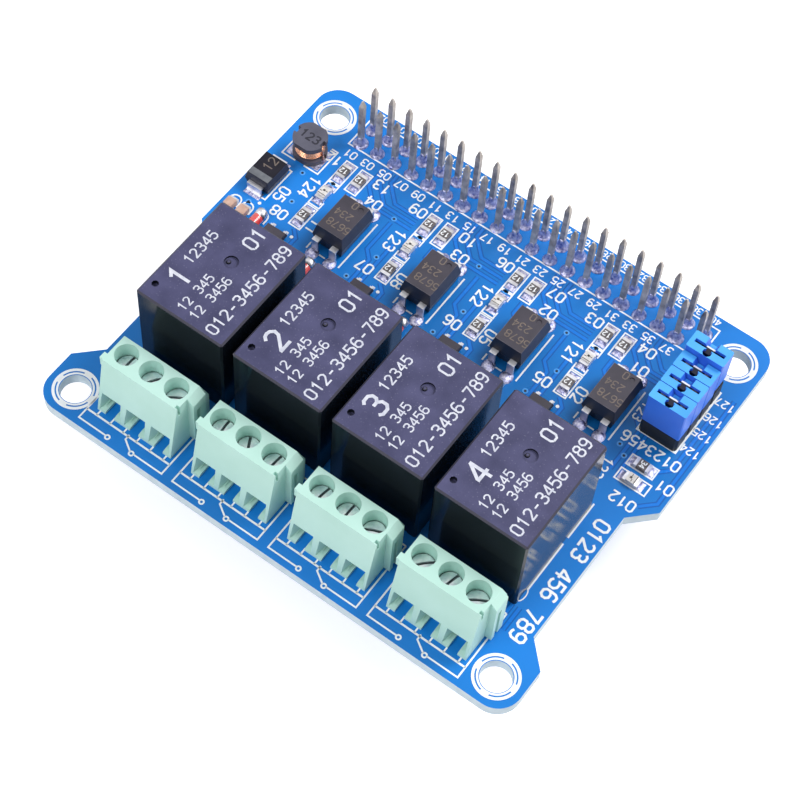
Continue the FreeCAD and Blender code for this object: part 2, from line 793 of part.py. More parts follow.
def make_cage(index, way):
    """One wire cage at the bottom of its travel, drawn about the screw's axis."""
    left = along(terminal_first, terminal_apart, index) + way_wide * (way + 0.5)
    cage = new_body(f"terminal_cage_{index + 1}_{way + 1}", left, screw_back - terminal_front,
                    top + cage_low)
    cage_sketch = sketch_on(cage, "XY_Plane")
    block(cage_sketch, (zero, zero), cage_wide, cage_deep)
    pad(cage, cage_sketch, cage_tall)
    window_sketch = sketch_on(cage, "XZ_Plane", -(cage_deep / 2))
    window_tall = cage_tall - cage_nut - cage_floor
    block(window_sketch, (zero, cage_floor + window_tall / 2), cage_wide - cage_wall * 2,
          window_tall)
    cut(cage, window_sketch, cage_deep, back=True)
    nut_sketch = sketch_on(cage, "XY_Plane", cage_tall)
    octagon(nut_sketch, (zero, zero), shank_width + thread_gap * 2)
    cut(cage, nut_sketch, cage_nut)
    return keep(cage)


for terminal in range(count(terminal_count)):
    for way in range(count(way_count)):
        make_screw(terminal, way)
        make_cage(terminal, way)

# Contacts: bent strips, with a bar through each cage and a tail through the board
contact = new_body("terminal_contacts", terminal_first, -terminal_front, top)
bar_front = cavity_front + cage_gap
bar_rear = tail_back + bar_thick / 2
for way in range(count(way_count)):
    middle = way_wide * (way + 0.5)
    bar_sketch = sketch_on(contact, "YZ_Plane", middle)
    outline(bar_sketch, [
        (bar_front, bar_low), (bar_rear - bar_thick, bar_low),
        (bar_rear - bar_thick, floor_thick), (bar_rear, floor_thick),
        (bar_rear, bar_low + bar_thick), (bar_front, bar_low + bar_thick)])
    pad(contact, bar_sketch, bar_wide, middle=True)
    tail_sketch = sketch_on(contact, "XY_Plane", floor_thick)
    block(tail_sketch, (middle, tail_back), tail_wide, bar_thick)
    tail_long = floor_thick + board_thick + tail_below
    pad(contact, tail_sketch, tail_long, back=True)
repeat(contact, "X_Axis", terminal_apart, terminal_count)
keep(contact)


# Relay selection jumpers: notched base, square pins, open-topped caps and their clips
base = new_body("jumper_base", jumper_x, jumper_first, top)
base_sketch = sketch_on(base, "XY_Plane")
half_base = jumper_base_wide / 2
half_pitch = pin_apart / 2
outline(base_sketch, [
    (base_corner - half_base, -half_pitch), (half_base - base_corner, -half_pitch),
    (half_base, base_corner - half_pitch), (half_base, half_pitch - base_corner),
    (half_base - base_corner, half_pitch), (base_corner - half_base, half_pitch),
    (-half_base, half_pitch - base_corner), (-half_base, base_corner - half_pitch)])
pad(base, base_sketch, jumper_base_tall)
base_hole_sketch = sketch_on(base, "XY_Plane", jumper_base_tall)
jumper_pins = new_body("jumper_pins", jumper_x, jumper_first, zero)
jumper_pin_sketch = sketch_on(jumper_pins, "XY_Plane", -jumper_pin_below)
for row_place in row_places:
    block(base_hole_sketch, (row_place, zero), pin_square, pin_square)
    block(jumper_pin_sketch, (row_place, zero), pin_square, pin_square)
cut(base, base_hole_sketch, jumper_base_tall)
repeat(base, "Y_Axis", pin_apart, jumper_ways)
keep(base)
pad(jumper_pins, jumper_pin_sketch, jumper_pin_below + top + jumper_pin_tall)
repeat(jumper_pins, "Y_Axis", pin_apart, jumper_ways)
keep(jumper_pins)


def cap_place(index):
    """The middle of one cap's underside: the rearmost isn't pushed right down."""
    raised = cap_lift if index == count(jumper_ways) - 1 else zero
    return along(jumper_first, pin_apart, index), top + jumper_base_tall + raised


def make_cap(index):
    """One open-topped cap, drawn about the middle of its underside."""
    back, height = cap_place(index)
    cap = new_body(f"jumper_cap_{index + 1}", jumper_x, back, height)
    cap_sketch = sketch_on(cap, "XY_Plane")
    block(cap_sketch, (zero, zero), cap_wide, cap_deep)
    pad(cap, cap_sketch, cap_tall)
    bevel(cap, cap_edge, lambda edge: is_upright(local_box(cap, edge)))
    socket_sketch = sketch_on(cap, "XY_Plane")
    block(socket_sketch, (zero, zero), cap_slot_wide, pin_square + clip_thick * 2)
    cut(cap, socket_sketch, cap_tall - cap_slot_deep, back=True)
    slot_top_sketch = sketch_on(cap, "XY_Plane", cap_tall)
    block(slot_top_sketch, (zero, zero), cap_slot_wide, cap_slot_deep)
    cut(cap, slot_top_sketch, cap_slot_deep)
    hole_sketch = sketch_on(cap, "XY_Plane", cap_tall)
    octagon(hole_sketch, (zero, -cap_hole_front), cap_hole_width)
    cut(cap, hole_sketch, cap_hole_deep)
    dip_sketch = sketch_on(cap, "XZ_Plane")
    dip_low = cap_tall - cap_dip_deep
    outline(dip_sketch, [
        (-(cap_dip_wide / 4), dip_low), (cap_dip_wide / 4, dip_low),
        (cap_dip_wide / 2, cap_tall), (-(cap_dip_wide / 2), cap_tall)])
    cut(cap, dip_sketch, cap_deep)
    return keep(cap)


for jumper in range(count(jumper_ways)):
    make_cap(jumper)

clip = new_body("jumper_clip_pattern", jumper_x, jumper_first, top + jumper_base_tall)
clip_long = cap_slot_wide - clip_gap * 2
clip_sketch = sketch_on(clip, "XY_Plane", clip_low)
for side in (-1, 1):
    block(clip_sketch, (zero, (pin_square + clip_thick) / 2 * side), clip_long,
          clip_thick - clip_gap)
pad(clip, clip_sketch, cap_tall - cap_slot_deep - clip_low - clip_gap)
bridge_sketch = sketch_on(clip, "XY_Plane", cap_tall - cap_slot_deep - clip_gap)
block(bridge_sketch, (zero, zero), pin_apart - pin_square - clip_gap * 2,
      pin_square + clip_thick * 2 - clip_gap)
pad(clip, bridge_sketch, clip_thick, back=True)
doc.recompute()
clips = doc.addObject("Part::Feature", "jumper_clips")
clips.Label = "jumper_clips"
clip_copies = []
for jumper in range(count(jumper_ways)):
    back, height = cap_place(jumper)
    copy = clip.Shape.copy()
    copy.translate(Vector(0, back.value - jumper_first.value,
                          height.value - (top + jumper_base_tall).value))
    clip_copies.append(copy)
clips.Shape = Part.makeCompound([solid for copy in clip_copies for solid in copy.Solids])
keep(clips)


# Optocouplers: drafted bodies with a round mark, on bent leads
opto_first = channel_first + opto_side
optos = new_body("optocoupler_bodies", opto_first, opto_y, top)
moulded_block(optos, opto_wide, opto_long, opto_low, opto_parting, opto_tall, opto_draft)
mark_sketch = sketch_on(optos, "XY_Plane", opto_tall)
mark_in = opto_draft * 3
octagon(mark_sketch, (opto_wide / 2 - mark_in, opto_long / 2 - mark_in), opto_mark_width)
cut(optos, mark_sketch, opto_mark_deep)
repeat(optos, "X_Axis", channel_apart, relay_count)
keep(optos)


def bent_lead(sketch, root, out, foot, level, thick, side):
    """The side view of a lead that leaves a body level, turns down and ends in a foot."""
    shapes = [
        (root, level), (out - thick, level), (out - thick, zero), (out + foot, zero),
        (out + foot, thick), (out, thick), (out, level + thick), (root, level + thick)]
    outline(sketch, [(y * side, z) for y, z in shapes])


opto_leads = new_body("optocoupler_leads", opto_first, opto_y, top)
for row_place in row_places:
    opto_lead_sketch = sketch_on(opto_leads, "YZ_Plane", row_place)
    for side in (-1, 1):
        bent_lead(opto_lead_sketch, opto_long / 2, opto_long / 2 + lead_out, lead_foot,
                  opto_parting - lead_thick / 2, lead_thick, side)
    pad(opto_leads, opto_lead_sketch, lead_wide, middle=True)
repeat(opto_leads, "X_Axis", channel_apart, relay_count)
keep(opto_leads)


# Flat chips: resistors, capacitors and status lights, each between two plated ends
def chip_pieces(sketch, middle, along_x, part):
    """A chip's body between its ends, or the two ends, about a middle point."""
    x, y = middle
    body_long = chip_long - chip_end * 2
    reach = (chip_long - chip_end) / 2
    if part == "body":
        spans = [(zero, body_long)]
    else:
        spans = [(reach, chip_end), (-reach, chip_end)]
    for offset, length in spans:
        if along_x:
            block(sketch, (x + offset, y), length, chip_wide)
        else:
            block(sketch, (x, y + offset), chip_wide, length)


channel_resistors = [
    (channel_first, upper_chip_y), (channel_first, lower_chip_y),
    (channel_first + chip_side, upper_chip_y)]
channel_light = (channel_first, light_y)
lone_resistor = (lone_chip_x, lone_chip_y)
lone_light = (lone_chip_x, lone_light_y)
capacitors = [(capacitor_x, capacitor_y), (capacitor_x + capacitor_apart, capacitor_y)]


def chip_set(body, part, rowed, lone, tall):
    """Chips that repeat with the channels, and chips that stand alone along X or Y."""
    if rowed:
        row_sketch = sketch_on(body, "XY_Plane")
        for middle in rowed:
            chip_pieces(row_sketch, middle, False, part)
        pad(body, row_sketch, tall)
        repeat(body, "X_Axis", channel_apart, relay_count)
    if lone:
        lone_sketch = sketch_on(body, "XY_Plane")
        for middle, along_x in lone:
            chip_pieces(lone_sketch, middle, along_x, part)
        pad(body, lone_sketch, tall)


resistor_bodies = new_body("chip_resistors", zero, zero, top)
chip_set(resistor_bodies, "body", channel_resistors, [(lone_resistor, True)], chip_tall)
keep(resistor_bodies)
capacitor_bodies = new_body("chip_capacitors", zero, zero, top)
chip_set(capacitor_bodies, "body", [], [(place, False) for place in capacitors], capacitor_tall)
keep(capacitor_bodies)
light_bodies = new_body("status_lights", zero, zero, top)
chip_set(light_bodies, "body", [channel_light], [(lone_light, True)], light_tall)
keep(light_bodies)
chip_ends = new_body("chip_ends", zero, zero, top)
chip_set(chip_ends, "ends", channel_resistors + [channel_light],
         [(lone_resistor, True), (lone_light, True)] + [(place, False) for place in capacitors],
         chip_tall)
keep(chip_ends)


# Transistors: small drafted bodies on three thin leads
transistor_x = channel_first + transistor_side
transistors = new_body("transistor_bodies", transistor_x, transistor_y, top)
transistor_mid = (transistor_tall + transistor_leaf) / 2
moulded_block(transistors, transistor_long, transistor_wide, transistor_leaf, transistor_mid,
              transistor_tall, transistor_leaf)
repeat(transistors, "X_Axis", channel_apart, relay_count)
keep(transistors)

transistor_leads = new_body("transistor_leads", transistor_x, transistor_y, top)
lead_reach = transistor_span / 2 - transistor_lead
for offset, side in ((-transistor_lead_apart / 2, 1), (transistor_lead_apart / 2, 1), (zero, -1)):
    lead_sketch = sketch_on(transistor_leads, "YZ_Plane", offset)
    bent_lead(lead_sketch, transistor_wide / 2, lead_reach + transistor_leaf, transistor_lead,
              transistor_mid - transistor_leaf / 2, transistor_leaf, side)
    pad(transistor_leads, lead_sketch, transistor_lead, middle=True)
repeat(transistor_leads, "X_Axis", channel_apart, relay_count)
keep(transistor_leads)


# Glass diodes: round bodies that lie along Y, behind the relays and beside the supply parts
glass = new_body("glass_diodes", zero, zero, top)
for x, y, copies in ((glass_first, glass_y, relay_count), (glass_lone_x, glass_lone_y, None)):
    barrel_sketch = sketch_on(glass, "XZ_Plane", -(y - glass_long / 2))
    disc(barrel_sketch, (x, glass_width / 2), glass_width)
    pad(glass, barrel_sketch, glass_long, back=True)
    if copies:
        repeat(glass, "X_Axis", glass_apart, copies)
keep(glass)


# Choke: a turned ferrite spool with two flats and wire notches, wound with copper
choke = new_body("choke_core", choke_x, choke_y, top)
spool_sketch = sketch_on(choke, "XZ_Plane")
rim = choke_width / 2
hub = choke_hub / 2
outline(spool_sketch, [
    (zero, zero), (rim, zero), (rim, choke_flange), (hub, choke_flange),
    (hub, choke_tall - choke_flange), (rim, choke_tall - choke_flange), (rim, choke_tall),
    (zero, choke_tall)])
revolve(choke, spool_sketch)
flat_sketch = sketch_on(choke, "XY_Plane", choke_tall)
flat_over = (choke_width - choke_flat) / 2
for side in (-1, 1):
    block(flat_sketch, (zero, (choke_flat + flat_over) / 2 * side), choke_width, flat_over)
    block(flat_sketch, (rim * side, zero), choke_notch * 2, choke_notch * 2)
cut(choke, flat_sketch, choke_tall)
keep(choke)

winding = new_body("choke_winding", choke_x, choke_y, top)
winding_sketch = sketch_on(winding, "XZ_Plane")
coil_in = hub + winding_gap
coil_low = choke_flange + winding_gap
coil_high = choke_tall - choke_flange - winding_gap
outline(winding_sketch, [
    (coil_in, coil_low), (winding_width / 2, coil_low), (winding_width / 2, coil_high),
    (coil_in, coil_high)])
revolve(winding, winding_sketch)
keep(winding)


# Power diode: a drafted block on two wide leads that fold under it
diode = new_body("power_diode_body", diode_x, diode_y, top)
diode_mid = (diode_low + diode_tall) / 2
moulded_block(diode, diode_wide, diode_long, diode_low, diode_mid, diode_tall, diode_draft)
keep(diode)

diode_leads = new_body("power_diode_leads", diode_x, diode_y, top)
diode_lead_sketch = sketch_on(diode_leads, "YZ_Plane")
for side in (-1, 1):
    bent_lead(diode_lead_sketch, diode_long / 2, diode_long / 2 + diode_lead_out,
              diode_lead_thick, diode_mid - diode_lead_thick / 2, diode_lead_thick, side)
pad(diode_leads, diode_lead_sketch, diode_lead_wide, middle=True)
keep(diode_leads)


# Check every object and write each sub-part to its own file
doc.recompute()
for item in doc.Objects:
    if "Invalid" in item.State or "Error" in item.State:
        raise ValueError(f"{item.Label} did not build: {item.State}")
for piece in subparts:
    if piece.Shape.isNull() or not piece.Shape.isValid() or not piece.Shape.Solids:
        raise ValueError(f"{piece.Label} has no valid solid")
for piece in subparts:
    piece.Shape.exportStep(f"parts/{piece.Label}.step")
    print(piece.Label, len(piece.Shape.Solids), round(piece.Shape.Volume, 3))
print(len(subparts), "sub-parts")
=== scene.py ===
import bmesh
import bpy
import numpy as np
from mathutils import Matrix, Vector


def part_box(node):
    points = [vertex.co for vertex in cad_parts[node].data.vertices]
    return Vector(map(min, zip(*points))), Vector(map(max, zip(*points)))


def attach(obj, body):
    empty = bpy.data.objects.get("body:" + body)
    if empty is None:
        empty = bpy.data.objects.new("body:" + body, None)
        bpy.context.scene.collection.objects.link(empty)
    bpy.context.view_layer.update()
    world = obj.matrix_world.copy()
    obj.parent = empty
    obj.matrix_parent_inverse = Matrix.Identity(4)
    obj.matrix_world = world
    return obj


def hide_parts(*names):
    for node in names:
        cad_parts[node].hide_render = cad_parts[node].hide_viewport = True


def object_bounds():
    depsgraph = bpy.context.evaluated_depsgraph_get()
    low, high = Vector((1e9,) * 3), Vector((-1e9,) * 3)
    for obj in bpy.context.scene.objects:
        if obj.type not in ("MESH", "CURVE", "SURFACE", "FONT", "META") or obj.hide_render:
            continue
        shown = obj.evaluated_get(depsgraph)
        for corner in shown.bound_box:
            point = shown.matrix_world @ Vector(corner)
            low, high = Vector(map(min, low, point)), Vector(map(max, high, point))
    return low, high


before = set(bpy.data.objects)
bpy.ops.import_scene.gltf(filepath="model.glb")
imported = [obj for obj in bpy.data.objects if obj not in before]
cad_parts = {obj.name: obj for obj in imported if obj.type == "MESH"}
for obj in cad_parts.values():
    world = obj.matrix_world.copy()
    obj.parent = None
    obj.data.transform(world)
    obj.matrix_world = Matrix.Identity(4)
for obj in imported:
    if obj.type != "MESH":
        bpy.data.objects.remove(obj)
cad_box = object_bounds()

# The studio
# A white floor in a white room, three wide soft lamps, and a long lens high in front and to the
# right. Lamps and room give about the light at which a colour shows as written.

MM = 0.001
WHITE = (1, 1, 1, 1)
CAMERA_AT = (63.08, -106.61, 207.16)
CAMERA_TURN = (30.137, -2.929, 35.870)
CAMERA_LENS = 94.22
CAMERA_SHIFT = (-0.0029, 0.0063)
CAMERA_CLIP = (0.01, 10)
ROOM_LIGHT = 0.38
FLOOR_WHITE = 0.86
FLOOR_LIFT = 0.50
FLOOR_ROUGH = 0.9
FLOOR_HALF = 1500.0
LAMPS = {
    "front_lamp": ((-150, -400, 430), 330, 1.75),
    "rear_lamp": ((200, 320, 430), 260, 2.1),
    "side_lamp": ((420, 60, 300), 260, 0.5),
}
SEEN_RAYS = ("Is Camera Ray", "Is Glossy Ray", "Is Transmission Ray")


def add(tree, kind, inputs=None, **fields):
    """A node of that kind. Its inputs are numbers, colours or other nodes' outputs."""
    node = tree.nodes.new("ShaderNode" + kind)
    for field, value in fields.items():
        setattr(node, field, value)
    for socket, value in (inputs or {}).items():
        if isinstance(value, bpy.types.NodeSocket):
            tree.links.new(value, node.inputs[socket])
        else:
            node.inputs[socket].default_value = value
    return node


def reckon(tree, operation, *values):
    """What a Math node makes of those numbers or outputs."""
    return add(tree, "Math", dict(enumerate(values)), operation=operation).outputs[0]


def seen_share(tree):
    """One for rays that show a surface to the eye, straight or by gloss or glass, else nought."""
    path = add(tree, "LightPath")
    share = path.outputs[SEEN_RAYS[0]]
    for ray in SEEN_RAYS[1:]:
        share = reckon(tree, "MAXIMUM", share, path.outputs[ray])
    return share


def placed(name, data):
    """An object of that data in the scene, at the origin."""
    made = bpy.data.objects.new(name, data)
    scene.collection.objects.link(made)
    return made


scene = bpy.context.scene
scene.view_settings.view_transform = "Standard"

world = bpy.data.worlds.new("studio_room")
scene.world = world
world.use_nodes = True
room = world.node_tree
room_light = add(room, "MapRange", {"Value": seen_share(room), "To Min": ROOM_LIGHT, "To Max": 1.0})
background = room.nodes["Background"]
background.inputs["Color"].default_value = WHITE
room.links.new(room_light.outputs[0], background.inputs["Strength"])

floor_white = bpy.data.materials.new("studio_floor")
floor_white.use_nodes = True
tree = floor_white.node_tree
shader = tree.nodes["Principled BSDF"]
shader.inputs["Base Color"].default_value = (FLOOR_WHITE, FLOOR_WHITE, FLOOR_WHITE, 1)
shader.inputs["Roughness"].default_value = FLOOR_ROUGH
shader.inputs["Emission Color"].default_value = WHITE
tree.links.new(reckon(tree, "MULTIPLY", seen_share(tree), FLOOR_LIFT),
               shader.inputs["Emission Strength"])

reach = FLOOR_HALF * MM
floor_mesh = bpy.data.meshes.new("studio_floor")
floor_mesh.from_pydata([(x, y, cad_box[0][2]) for x, y in
                        ((-reach, -reach), (reach, -reach), (reach, reach), (-reach, reach))],
                       [], [(0, 1, 2, 3)])
floor_mesh.materials.append(floor_white)
placed("studio_floor", floor_mesh)

for name, (place, size, power) in LAMPS.items():
    lamp = bpy.data.lights.new(name, "AREA")
    lamp.shape = "DISK"
    lamp.size = size * MM
    lamp.energy = power
    lamp_object = placed(name, lamp)
    lamp_object.location = np.array(place) * MM
    lamp_object.rotation_euler = (-lamp_object.location).to_track_quat("-Z", "Y").to_euler()

camera = bpy.data.cameras.new("camera")
camera.lens = CAMERA_LENS
camera.shift_x, camera.shift_y = CAMERA_SHIFT
camera.clip_start, camera.clip_end = CAMERA_CLIP
scene.camera = placed("camera", camera)
scene.camera.location = np.array(CAMERA_AT) * MM
scene.camera.rotation_euler = np.radians(CAMERA_TURN)

# The bare board
# A 1.6 mm glass-fibre sheet with glossy blue lacquer on its upper and lower faces. The sawn edges
# and the walls of the holes show the pale laminate.

LACQUER = ((0.003, 0.155, 0.490), (0.010, 0.228, 0.760))
LACQUER_GLOSS = 0.32
LAMINATE = ((0.50, 0.60, 0.68), (0.60, 0.70, 0.77))
CLOUD_DETAIL = 4.0
CLOUD_RANGE = (0.32, 0.68)
GRAIN_DETAIL = 5.0
LEVEL_LIMIT = 0.7


def new_group(name, inputs, outputs):
    """A node group with those inputs, each with its kind and default, and those outputs."""
    group = bpy.data.node_groups.new(name, "ShaderNodeTree")
    for socket, kind, default in inputs:
        made = group.interface.new_socket(socket, in_out="INPUT", socket_type="NodeSocket" + kind)
        made.default_value = default
    for socket, kind in outputs:
        group.interface.new_socket(socket, in_out="OUTPUT", socket_type="NodeSocket" + kind)
    given, made = group.nodes.new("NodeGroupInput"), group.nodes.new("NodeGroupOutput")
    return group, given.outputs, made.inputs


def mixed(tree, share, first, second):
    """The first colour where the share is nought, the second where it is one."""
    mix = add(tree, "Mix", {0: share, 6: first, 7: second}, data_type="RGBA")
    return mix.outputs[2]


# Mottle moves a colour between two by a soft noise, moves the roughness with it,
# and gives the height of a finer grain for bump.
mottle, given, made = new_group(
    "mottle",
    [("Colour", "Color", (0.5, 0.5, 0.5, 1)), ("Second Colour", "Color", (0.6, 0.6, 0.6, 1)),
     ("Scale", "Float", 100.0), ("Grain Scale", "Float", 2000.0), ("Roughness", "Float", 0.5),
     ("Roughness Change", "Float", 0.1)],
    [("Colour", "Color"), ("Roughness", "Float"), ("Height", "Float")])
here = add(mottle, "TexCoord").outputs["Object"]
cloud = add(mottle, "TexNoise", {"Vector": here, "Scale": given["Scale"], "Detail": CLOUD_DETAIL})
share = add(mottle, "MapRange", {"Value": cloud.outputs["Fac"], "From Min": CLOUD_RANGE[0],
                                 "From Max": CLOUD_RANGE[1]}).outputs[0]
mottle.links.new(mixed(mottle, share, given["Colour"], given["Second Colour"]), made["Colour"])
mottle.links.new(reckon(mottle, "MULTIPLY_ADD", share, given["Roughness Change"],
                        given["Roughness"]), made["Roughness"])
grain = add(mottle, "TexNoise", {"Vector": here, "Scale": given["Grain Scale"],
                                 "Detail": GRAIN_DETAIL})
mottle.links.new(grain.outputs["Fac"], made["Height"])


def finish_of(name, colour, second, roughness, scale=120.0, grain_scale=2500.0,
              roughness_change=0.1, bump=0.1, bump_depth=0.02, metal=0.0, coat=0.0, gloss=0.5):
    """A material whose colour, roughness and grain come from the mottle group."""
    material = bpy.data.materials.new(name)
    material.use_nodes = True
    tree = material.node_tree
    shader = tree.nodes["Principled BSDF"]
    shader.inputs["Metallic"].default_value = metal
    shader.inputs["Coat Weight"].default_value = coat
    shader.inputs["Specular IOR Level"].default_value = gloss
    surface = add(tree, "Group", {"Colour": (*colour, 1), "Second Colour": (*second, 1),
                                  "Scale": scale, "Grain Scale": grain_scale,
                                  "Roughness": roughness, "Roughness Change": roughness_change},
                  node_tree=mottle, name="surface")
    tree.links.new(surface.outputs["Colour"], shader.inputs["Base Color"])
    tree.links.new(surface.outputs["Roughness"], shader.inputs["Roughness"])
    relief = add(tree, "Bump", {"Strength": bump, "Distance": bump_depth * MM,
                                "Height": surface.outputs["Height"]}, name="relief")
    tree.links.new(relief.outputs[0], shader.inputs["Normal"])
    return material


def facing_up(tree):
    """How far the surface faces up: one where it lies level, minus one where it faces down."""
    normal = add(tree, "NewGeometry").outputs["True Normal"]
    return add(tree, "SeparateXYZ", {0: normal}).outputs["Z"]


def level_share(tree):
    """One where the surface lies level, facing up or down, else nought."""
    upright = reckon(tree, "ABSOLUTE", facing_up(tree))
    return reckon(tree, "GREATER_THAN", upright, LEVEL_LIMIT)


def two_zoned(material, side_colour, side_second, side_roughness, scale=200.0, bump=0.05):
    """Gives a material another colour, roughness and grain on its upright faces."""
    tree = material.node_tree
    shader, top, relief = (tree.nodes[name] for name in ("Principled BSDF", "surface", "relief"))
    level = level_share(tree)
    side = add(tree, "Group", {"Colour": (*side_colour, 1), "Second Colour": (*side_second, 1),
                               "Scale": scale, "Roughness": side_roughness}, node_tree=mottle)
    tree.links.new(mixed(tree, level, side.outputs["Colour"], top.outputs["Colour"]),
                   shader.inputs["Base Color"])
    rough = add(tree, "Mix", {0: level, 2: side.outputs["Roughness"], 3: top.outputs["Roughness"]})
    tree.links.new(rough.outputs[0], shader.inputs["Roughness"])
    top_bump = relief.inputs["Strength"].default_value
    strength = reckon(tree, "MULTIPLY_ADD", level, top_bump - bump, bump)
    relief.inputs["Strength"].default_value = 1.0
    tree.links.new(reckon(tree, "MULTIPLY", strength, top.outputs["Height"]),
                   relief.inputs["Height"])


def dress(node_names, material):
    """Gives CAD pieces their finish."""
    for node_name in node_names:
        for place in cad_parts[node_name].material_slots:
            place.material = material


def low_high(node):
    """The lowest and highest corner of a CAD piece, in millimetres."""
    low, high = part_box(node)
    return np.array(low) / MM, np.array(high) / MM


def top_of(node):
    """The height of a CAD piece's top, in millimetres."""
    return float(low_high(node)[1][2])


lacquer = finish_of("lacquered_board", *LACQUER, 0.26, scale=30.0, grain_scale=900.0,
                    bump=0.12, bump_depth=0.03, gloss=LACQUER_GLOSS)
two_zoned(lacquer, *LAMINATE, 0.55, scale=900.0)
dress(["circuit_board"], lacquer)
BOARD_TOP = top_of("circuit_board")
BOARD_UNDER = float(low_high("circuit_board")[0][2])

# The copper tracks
# Thin copper lines under the lacquer, a hundredth of a millimetre proud, with a darker gap of bare
# laminate along both sides. They fan out from the header to the other parts.

TRACK_BLUE = ((0.005, 0.175, 0.660), (0.010, 0.215, 0.800))
GAP_BLUE = ((0.001, 0.095, 0.380), (0.002, 0.125, 0.500))
TRACK_WIDE = 0.36
GAP_WIDE = 0.66
TRACK_PROUD = 0.014
GAP_PROUD = 0.004
PRINT_PROUD = 0.03
PRINT_THICK = 0.012
CHANNEL_FIRST = -23.1
CHANNEL_APART = 12.72
CHANNELS = 4
FAN_LANES = 3
FAN_APART = 0.95
FAN_ASIDE = 3.5
FAN_FRONT = 16.6
FAN_REAR = 22.1
FAN_SLANT = 2.2
FAN_REACH = 11.2
FAN_LIMIT = 24.0
CHANNEL_TRACKS = (((2.3, 16.2), (2.3, 14.4), (3.0, 13.7)),
                  ((0.2, 8.2), (1.2, 7.2), (1.2, 4.0)),
                  ((8.8, 16.0), (8.8, 11.2), (9.9, 10.1), (9.9, 4.0)),
                  ((10.9, 13.6), (10.9, 4.0)))
EDGE_TRACKS = (((31.65, 20.0), (31.65, 3.4), (30.05, 1.8)),
               ((30.65, 16.0), (30.65, 8.0), (29.05, 6.4)),
               ((24.7, -16.4), (24.7, -20.6)),
               ((25.6, -16.4), (25.6, -20.1)),
               ((26.5, -16.4), (26.5, -19.6)))


def stroke(path, width, closed=False):
    """A flat band of even width along a path. At each corner its two points lie along the sum of
    the two edges' normals, at half the width divided by one plus the cosine of the turn."""
    path = np.asarray(path, float)
    step = np.roll(path, -1, 0) - path
    if not closed:
        step[-1] = step[-2]
    normal = np.stack([-step[:, 1], step[:, 0]], 1) / np.linalg.norm(step, axis=1)[:, None]
    before = np.roll(normal, 1, 0)
    if not closed:
        before[0] = normal[0]
    mitre = (normal + before) / (1 + (normal * before).sum(1))[:, None] * width / 2
    flat = np.concatenate([path - mitre, path + mitre])
    count = len(path)
    start = np.arange(count if closed else count - 1)
    after = (start + 1) % count
    faces = np.stack([start, after, after + count, start + count], 1)
    return np.column_stack([flat, np.zeros(2 * count)]), faces.tolist()


def moved(shape, place, turn=0.0, size=1.0):
    """A shape made larger or smaller, turned about the upright axis and set at a place."""
    points, faces = shape
    cosine, sine = np.cos(np.radians(turn)), np.sin(np.radians(turn))
    across = np.array([[cosine, sine, 0], [-sine, cosine, 0], [0, 0, 1]])
    return (points * size) @ across + np.array([*place, 0][:3], float), faces


def gathered(shapes):
    """Several shapes as one set of points and faces."""
    points, faces, start = [], [], 0
    for shape_points, shape_faces in shapes:
        points.append(shape_points)
        faces.extend([[corner + start for corner in face] for face in shape_faces])
        start += len(shape_points)
    return np.concatenate(points), faces


def new_piece(name, shape, material, body="board", smooth=False, height=0.0):
    """A mesh piece that rides on a body. Points that meet are merged, so poles and seams close."""
    points, faces = shape
    mesh = bpy.data.meshes.new(name)
    mesh.from_pydata(((points + np.array([0, 0, height])) * MM).tolist(), [], faces)
    work = bmesh.new()
    work.from_mesh(mesh)
    bmesh.ops.remove_doubles(work, verts=work.verts, dist=2e-7)
    work.to_mesh(mesh)
    work.free()
    mesh.materials.append(material)
    if smooth:
        mesh.shade_smooth()
    piece = placed(name, mesh)
    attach(piece, body)
    return piece


def flat_piece(name, shapes, material, height=BOARD_TOP + PRINT_PROUD,
               thick=PRINT_THICK):
    """A print or track: flat bands at a height, given a little thickness downwards."""
    piece = new_piece(name, gathered(shapes), material, height=height)
    wall = piece.modifiers.new("thickness", "SOLIDIFY")
    wall.thickness = thick * MM
    wall.offset = -1
    return piece


def channel_place(channel, aside=0.0):
    """The place across of a channel's column of small parts, or so far beside it."""
    return CHANNEL_FIRST + CHANNEL_APART * channel + aside


def beside(middle, path):
    """A path, given from a line that runs to the rear, as it lies with that line at the middle."""
    return [(middle + aside, along) for aside, along in path]


tracks = []
for channel in range(CHANNELS):
    for lane in range(FAN_LANES):
        across = channel_place(channel, FAN_ASIDE + FAN_APART * lane)
        level = FAN_FRONT + FAN_APART * lane
        tracks.append([(across, FAN_REAR), (across, level + FAN_SLANT), (across + FAN_SLANT, level),
                       (min(channel_place(channel, FAN_REACH), FAN_LIMIT), level)])
    tracks += [beside(channel_place(channel), path) for path in CHANNEL_TRACKS]
tracks += EDGE_TRACKS
lacquered_gap = finish_of("lacquered_gap", *GAP_BLUE, 0.30, gloss=LACQUER_GLOSS)
lacquered_copper = finish_of("lacquered_copper", *TRACK_BLUE, 0.22, gloss=LACQUER_GLOSS)
for name, width, proud, material in (("track_gaps", GAP_WIDE, GAP_PROUD, lacquered_gap),
                                     ("copper_tracks", TRACK_WIDE, TRACK_PROUD, lacquered_copper)):
    flat_piece(name, [stroke(track, width) for track in tracks], material,
               height=BOARD_TOP + proud, thick=proud)

# The white print on the board
# Screened epoxy ink: outlines of the parts, rings round the corner holes, diagrams of the contacts
# and rows of figures, which are plain numbers.

